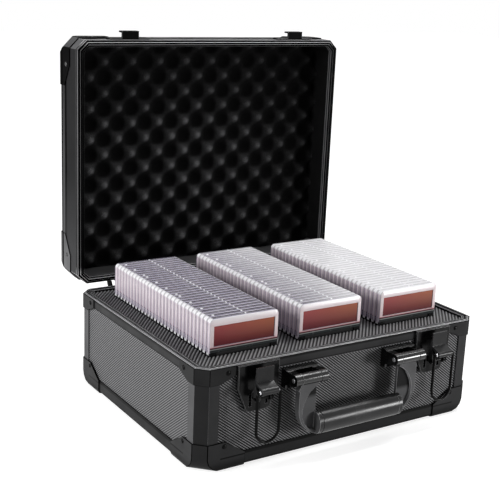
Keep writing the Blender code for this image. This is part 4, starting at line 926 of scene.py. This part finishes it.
def add_slab(bm, low, high, label, second_nub):
    """One card slab from its front at low.y: a shell with a seam, a label well and a card window."""
    rings = []
    for out, inset in SLAB_FORM:
        rings.append([bm.verts.new((x, low.y + out, z)) for x, z in slab_outline(low, high, inset)])
    joined_rings(bm, rings)
    bm.faces.new(rings[-1])
    middle = (low.x + high.x) / 2
    window = (middle - WINDOW_HALF, middle + WINDOW_HALF, low.z + WINDOW_LOW, low.z + WINDOW_HIGH)
    edges = [bm.edges.get((rings[0][i], rings[0][i - 1])) for i in range(len(rings[0]))]
    edges += well(bm, *label, low.y, 1)
    edges += well(bm, *window, low.y, 2)
    bmesh.ops.triangle_fill(bm, edges=edges, use_beauty=True, normal=FORWARD)
    y, z = low.y + SLAB_THICKNESS / 2, high.z - NUB_RADIUS * NUB_SUNK
    nubs = [(NUB_X, NUB_SHAPE)]
    if second_nub:
        nubs.append((SECOND_NUB_X, SECOND_NUB_SHAPE))
    for aside, shape in nubs:
        add_ball(bm, (middle + aside, y, z), NUB_RADIUS, shape, NUB_SEGMENTS, NUB_RINGS)


def make_slabs():
    """Three rows of slabs: the first of each row comes out by itself."""
    for name in ROWS:
        low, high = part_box(f"front_slab_{name}")
        label_low, label_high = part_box(f"slab_label_{name}")
        label = (
            label_low.x - LABEL_EASE, label_high.x + LABEL_EASE,
            label_low.z - LABEL_EASE, label_high.z + LABEL_EASE,
        )
        bm = bmesh.new()
        add_slab(bm, low, high, label, False)
        front = new_piece(
            f"first_slab_shell_{name}", bm, f"first_slab_{name}", "clear_plastic",
            acrylic, acrylic, window_clear, smooth=50,
        )
        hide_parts(f"front_slab_{name}")
        stack_low, stack_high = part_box(f"slab_stack_{name}")
        count = round((stack_high.y - stack_low.y) / SLAB_PITCH)
        bm = bmesh.new()
        for place in range(count):
            corner = Vector((low.x, stack_low.y + place * SLAB_PITCH, low.z))
            # Four slabs of ten have a second nub, spread over the row
            second_nub = place * 7 % 10 < 4
            add_slab(bm, corner, high, label, second_nub)
        stack = new_piece(
            f"slab_shells_{name}", bm, f"stack_{name}", "clear_plastic",
            acrylic, label_paper, window_clear, smooth=50,
        )
        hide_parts(f"slab_stack_{name}")


# Rivets

RIVET_FORM = ((0.0, 0.0), (0.0004, 0.0002), (0.0009, 0.0012), (0.0011, 0.0022))
RIVET_RADIUS = 0.0027
RIVET_SIDES = 12
RIVET_FROM_CORNER = 0.0300
BRACKET_RIVET_FROM_CORNER = 0.0315
CAP_RIVET_HEIGHT = 0.85
BRACKET_RIVET_HEIGHT = 0.65
LID_RIVET_DEPTH = 0.3


def add_rivet(bm, place, normal):
    """A low domed rivet head on a surface."""
    turn = Vector(normal).to_track_quat("Z", "Y").to_matrix()
    rings = []
    for lift, inset in RIVET_FORM:
        radius = RIVET_RADIUS - inset
        ring = []
        for step in range(RIVET_SIDES):
            angle = 2 * math.pi * step / RIVET_SIDES
            point = Vector((radius * math.cos(angle), radius * math.sin(angle), lift))
            ring.append(bm.verts.new(Vector(place) + turn @ point))
        rings.append(ring)
    joined_rings(bm, rings)
    bm.faces.new(rings[0])
    bm.faces.new(rings[-1])


def outer_end(low, high, way):
    """The end of a range that lies a given way."""
    return high if way > 0 else low


def make_base_rivets():
    """Two rivets on each corner cap and each rim bracket of the base."""
    kinds = (
        ("base_cap", RIVET_FROM_CORNER, CAP_RIVET_HEIGHT),
        ("rim_bracket", BRACKET_RIVET_FROM_CORNER, BRACKET_RIVET_HEIGHT),
    )
    bm = bmesh.new()
    for place, side in CORNERS:
        x_way, y_way = WAY[side], WAY[place]
        for node, inset, height in kinds:
            low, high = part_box(f"{node}_{place}_{side}")
            x_face, y_face = outer_end(low.x, high.x, x_way), outer_end(low.y, high.y, y_way)
            z = low.z + (high.z - low.z) * height
            add_rivet(bm, (x_face - x_way * inset, y_face, z), (0, y_way, 0))
            add_rivet(bm, (x_face, y_face - y_way * inset, z), (x_way, 0, 0))
    new_piece("base_rivets", bm, "base", "black_steel", wire_black, smooth=40)


def make_lid_rivets():
    """Two rivets on each corner cap of the lid. What is at the front when it is shut is now on top."""
    bm = bmesh.new()
    for place, side in CORNERS:
        x_way, z_way = WAY[side], -WAY[place]
        low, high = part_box(f"lid_cap_{place}_{side}")
        x_face, z_face = outer_end(low.x, high.x, x_way), outer_end(low.z, high.z, z_way)
        y = low.y + (high.y - low.y) * LID_RIVET_DEPTH
        add_rivet(bm, (x_face, y, z_face - z_way * RIVET_FROM_CORNER), (x_way, 0, 0))
        add_rivet(bm, (x_face - x_way * RIVET_FROM_CORNER, y, z_face), (0, 0, z_way))
    new_piece("lid_rivets", bm, "lid", "black_steel", gloss_black, smooth=40)


# The handle's arms

NECK_HALF = 0.01085
BARREL_HALF = 0.01125
ARM_OUT = 0.0132
ARM_PLAIN_OUT = 0.0118
ARM_FACE_BACK = 0.0050
SHOULDER_DROP = 0.0100
ELBOW = 0.0300
ELBOW_STEPS = 8
SCOOP_DEPTH = 0.0036
SCOOP_EDGE = (
    (-0.0010, 0.0086), (0.0030, 0.0098), (0.0060, 0.0119), (0.0106, 0.0158), (0.0146, 0.0226),
    (0.0168, 0.0268), (0.0184, 0.0340), (0.0180, 0.0410), (0.0150, 0.0480), (0.0090, 0.0550),
    (-0.0010, 0.0590),
)
COLLAR_SLACK = 0.0004
COLLAR_OVERLAP = 0.0010
BAR_SIDES = 32
ARM_BEVEL = 0.0009
CUTTER_CLEAR = 0.001
NEAR_BARREL = 0.0004
PAST_INNER_EDGE = 0.0001
INTO_SCOOP = 0.0020
ON_FACE, IN_SCOOP, ON_COLLAR, ON_BARREL, ON_EDGE, ON_WALL = range(6)


def bar(start, end, y, z, half_y, half_z):
    """An oval bar along X."""
    bm = bmesh.new()
    ends = []
    for x in (start, end):
        ring = []
        for step in range(BAR_SIDES):
            turn = 2 * math.pi * step / BAR_SIDES
            ring.append(bm.verts.new((x, y + half_y * math.cos(turn), z + half_z * math.sin(turn))))
        ends.append(ring)
    joined_rings(bm, ends)
    bm.faces.new(ends[0])
    bm.faces.new(ends[1])
    return bm


def arm_outline(centre, low_z, pivot_z):
    """An arm's outline in X and Z: a round elbow at the foot, a shoulder, and a neck up to the pin."""
    inner, outer = centre - NECK_HALF, centre + NECK_HALF
    far, plain = centre + ARM_OUT, centre + ARM_PLAIN_OUT
    start = math.acos((inner - plain + ELBOW) / ELBOW)
    outline = [(inner, pivot_z)]
    for step in range(ELBOW_STEPS + 1):
        turn = start * (step / ELBOW_STEPS - 1)
        outline.append((plain - ELBOW + ELBOW * math.cos(turn), low_z + ELBOW + ELBOW * math.sin(turn)))
    shoulder = pivot_z - SHOULDER_DROP
    return outline + [
        (plain, shoulder - 0.0100), (plain - 0.0004, shoulder - 0.0030), (far - 0.0004, shoulder - 0.0020),
        (far - 0.0016, shoulder + 0.0010), (outer, shoulder + 0.0020), (outer, pivot_z),
    ]


def arm_slot(face, side, inner, face_y, pivot, radius):
    """Which of the arm's materials a face has."""
    spot = face.calc_center_median()
    if math.hypot(spot.y - pivot.y, spot.z - pivot.z) < radius + NEAR_BARREL:
        return ON_BARREL
    if abs(spot.x) < inner - PAST_INNER_EDGE:
        return ON_COLLAR
    if face.normal.y < -0.9 and spot.y > face_y + INTO_SCOOP:
        return IN_SCOOP
    inward = face.normal.x * side < -0.1
    if inward and abs(spot.x) > inner + INTO_SCOOP and spot.y < face_y + SCOOP_DEPTH:
        return ON_WALL
    return ON_FACE


def make_handle_arms():
    """Handle arms with a scooped face and a straight inner edge, their barrels and the grip's collars."""
    low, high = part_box("handle_frame")
    grip_low, grip_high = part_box("handle_grip")
    grip_middle = (grip_low + grip_high) / 2
    face_y = low.y + ARM_FACE_BACK
    for name in SIDES:
        side = WAY[name]
        mount_low, mount_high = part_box(f"handle_mount_{name}")
        pin_low, pin_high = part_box(f"handle_pin_{name}")
        centre = abs(mount_low.x + mount_high.x) / 2
        pivot = (pin_low + pin_high) / 2
        inner = centre - NECK_HALF
        radius = high.z - pivot.z
        outline = [(side * x, z) for x, z in arm_outline(centre, low.z, pivot.z)]
        base = mesh_object("arm", side_prism(outline, face_y, high.y))
        hollow = [(side * (inner + x), pivot.z - drop) for x, drop in SCOOP_EDGE]
        scoop = side_prism(hollow, face_y - CUTTER_CLEAR, face_y + SCOOP_DEPTH)
        neck = sorted((side * (centre - BARREL_HALF), side * (centre + BARREL_HALF)))
        barrel = bar(*neck, pivot.y, pivot.z, radius, radius)
        reach = sorted((side * (grip_high.x + COLLAR_SLACK), side * (inner + COLLAR_OVERLAP)))
        collar = bar(
            *reach, grip_middle.y, grip_middle.z, (grip_high.y - grip_low.y) / 2 - COLLAR_SLACK,
            (grip_high.z - grip_low.z) / 2 - COLLAR_SLACK,
        )
        bm = carved(base, [
            ("DIFFERENCE", mesh_object("scoop", scoop)),
            ("UNION", mesh_object("barrel", barrel)),
            ("UNION", mesh_object("collar", collar)),
        ])
        bm.normal_update()
        for face in bm.faces:
            face.material_index = arm_slot(face, side, inner, face_y, pivot, radius)
        arms = new_piece(
            f"handle_arm_{name}", bm, "handle", "black_plastic",
            handle_black, handle_scoop, grip_black, gloss_black, edge_highlight_bright, arm_wall_highlight, smooth=30,
        )
        edge = arms.modifiers.new("edge", "BEVEL")
        edge.width = ARM_BEVEL
        edge.segments = 2
        edge.limit_method = "ANGLE"
        edge.angle_limit = math.radians(40)
        edge.material = ON_EDGE
        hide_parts("handle_frame")


# The latches' studs

STUD_RADIUS = 0.0019
STUD_OUT = 0.0004
STUD_DROP = 0.0012
STUD_SHAPE = (0.8, 1.0, 1.0)
STUD_SEGMENTS, STUD_RINGS = 14, 8


def make_latch_studs():
    """Bright rounded ends of the wire loop in each latch lever's roll."""
    for name in SIDES:
        low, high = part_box(f"latch_bail_{name}")
        lever_low, lever_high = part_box(f"latch_lever_{name}")
        bm = bmesh.new()
        for x in (lever_low.x - STUD_OUT, lever_high.x + STUD_OUT):
            place = (x, (low.y + high.y) / 2, high.z - STUD_DROP)
            add_ball(bm, place, STUD_RADIUS, STUD_SHAPE, STUD_SEGMENTS, STUD_RINGS)
        new_piece(f"latch_studs_{name}", bm, f"lever_{name}", "bright_steel", steel_bright, smooth=60)


make_lid_foam()
make_insert()
make_slabs()
make_base_rivets()
make_lid_rivets()
make_handle_arms()
make_latch_studs()


# Floor, backdrop light and lamps

FLOOR_SIZE = 6
FLOOR_GLOW = (0.78, 1.0)
GLOW_REACH = (0.5, 2.0)
PLAIN_LIGHT = 0.08


def looked_at(tree):
    """1 for what the camera sees, straight or by a mirror or glass, and 0 for the light that it gives."""
    path = tree.nodes.new("ShaderNodeLightPath")
    seen = path.outputs["Is Camera Ray"]
    for name in ("Is Glossy Ray", "Is Transmission Ray"):
        either = tree.nodes.new("ShaderNodeMath")
        either.operation = "MAXIMUM"
        tree.links.new(seen, either.inputs[0])
        tree.links.new(path.outputs[name], either.inputs[1])
        seen = either.outputs[0]
    return seen


def stage_material():
    """White floor that shows the case's shadow softly."""
    s = Shade("floor_white")
    away = s.tree.nodes.new("ShaderNodeVectorMath")
    away.operation = "LENGTH"
    s.put(away.inputs[0], s.coordinates["Object"])
    glow = s.between(away.outputs["Value"], *GLOW_REACH, *FLOOR_GLOW)
    s.set(Base_Color=(0.5, 0.5, 0.5), Roughness=0.9, Specular_IOR_Level=0.1)
    s.set(Emission_Color=(1, 1, 1), Emission_Strength=s.times(looked_at(s.tree), glow))
    return s.material


def make_floor():
    """A wide floor under the case, which is only for the picture."""
    bm = bmesh.new()
    bmesh.ops.create_grid(bm, x_segments=1, y_segments=1, size=FLOOR_SIZE)
    mesh = bpy.data.meshes.new("floor")
    bm.to_mesh(mesh)
    bm.free()
    mesh.materials.append(stage_material())
    floor = bpy.data.objects.new("floor", mesh)
    bpy.context.scene.collection.objects.link(floor)


def light_world():
    """White to look at, and a faint even light for the case."""
    world = bpy.data.worlds.new("studio")
    bpy.context.scene.world = world
    world.use_nodes = True
    tree = world.node_tree
    plain = tree.nodes["Background"]
    plain.inputs["Color"].default_value = (1, 1, 1, 1)
    plain.inputs["Strength"].default_value = PLAIN_LIGHT
    white = tree.nodes.new("ShaderNodeBackground")
    white.inputs["Color"].default_value = (1, 1, 1, 1)
    white.inputs["Strength"].default_value = 1.0
    blend = tree.nodes.new("ShaderNodeMixShader")
    tree.links.new(looked_at(tree), blend.inputs[0])
    tree.links.new(plain.outputs[0], blend.inputs[1])
    tree.links.new(white.outputs[0], blend.inputs[2])
    tree.links.new(blend.outputs[0], tree.nodes["World Output"].inputs["Surface"])


def lamp(name, place, target, size, power):
    """A soft oblong light aimed at a place."""
    data = bpy.data.lights.new(name, "AREA")
    data.shape = "RECTANGLE"
    data.size, data.size_y = size
    data.energy = power
    light = bpy.data.objects.new(name, data)
    light.location = place
    light.rotation_euler = (Vector(target) - Vector(place)).to_track_quat("-Z", "Y").to_euler()
    bpy.context.scene.collection.objects.link(light)


make_floor()
light_world()
lamp("side_left", (-1.5, 0.1, 0.5), (0, 0, 0.12), (0.8, 0.8), 25)
lamp("front_right", (1.1, -1.4, 0.22), (0, 0, 0.10), (0.42, 0.42), 21)
lamp("front_strip", (0.75, -0.22, 1.3), (0.75, -0.18, 0.05), (1.4, 0.08), 8.0)
lamp("top", (0.8, 0.2, 1.7), (0, 0, 0.12), (0.35, 0.35), 13)

view = bpy.context.scene.view_settings
view.view_transform = "Standard"
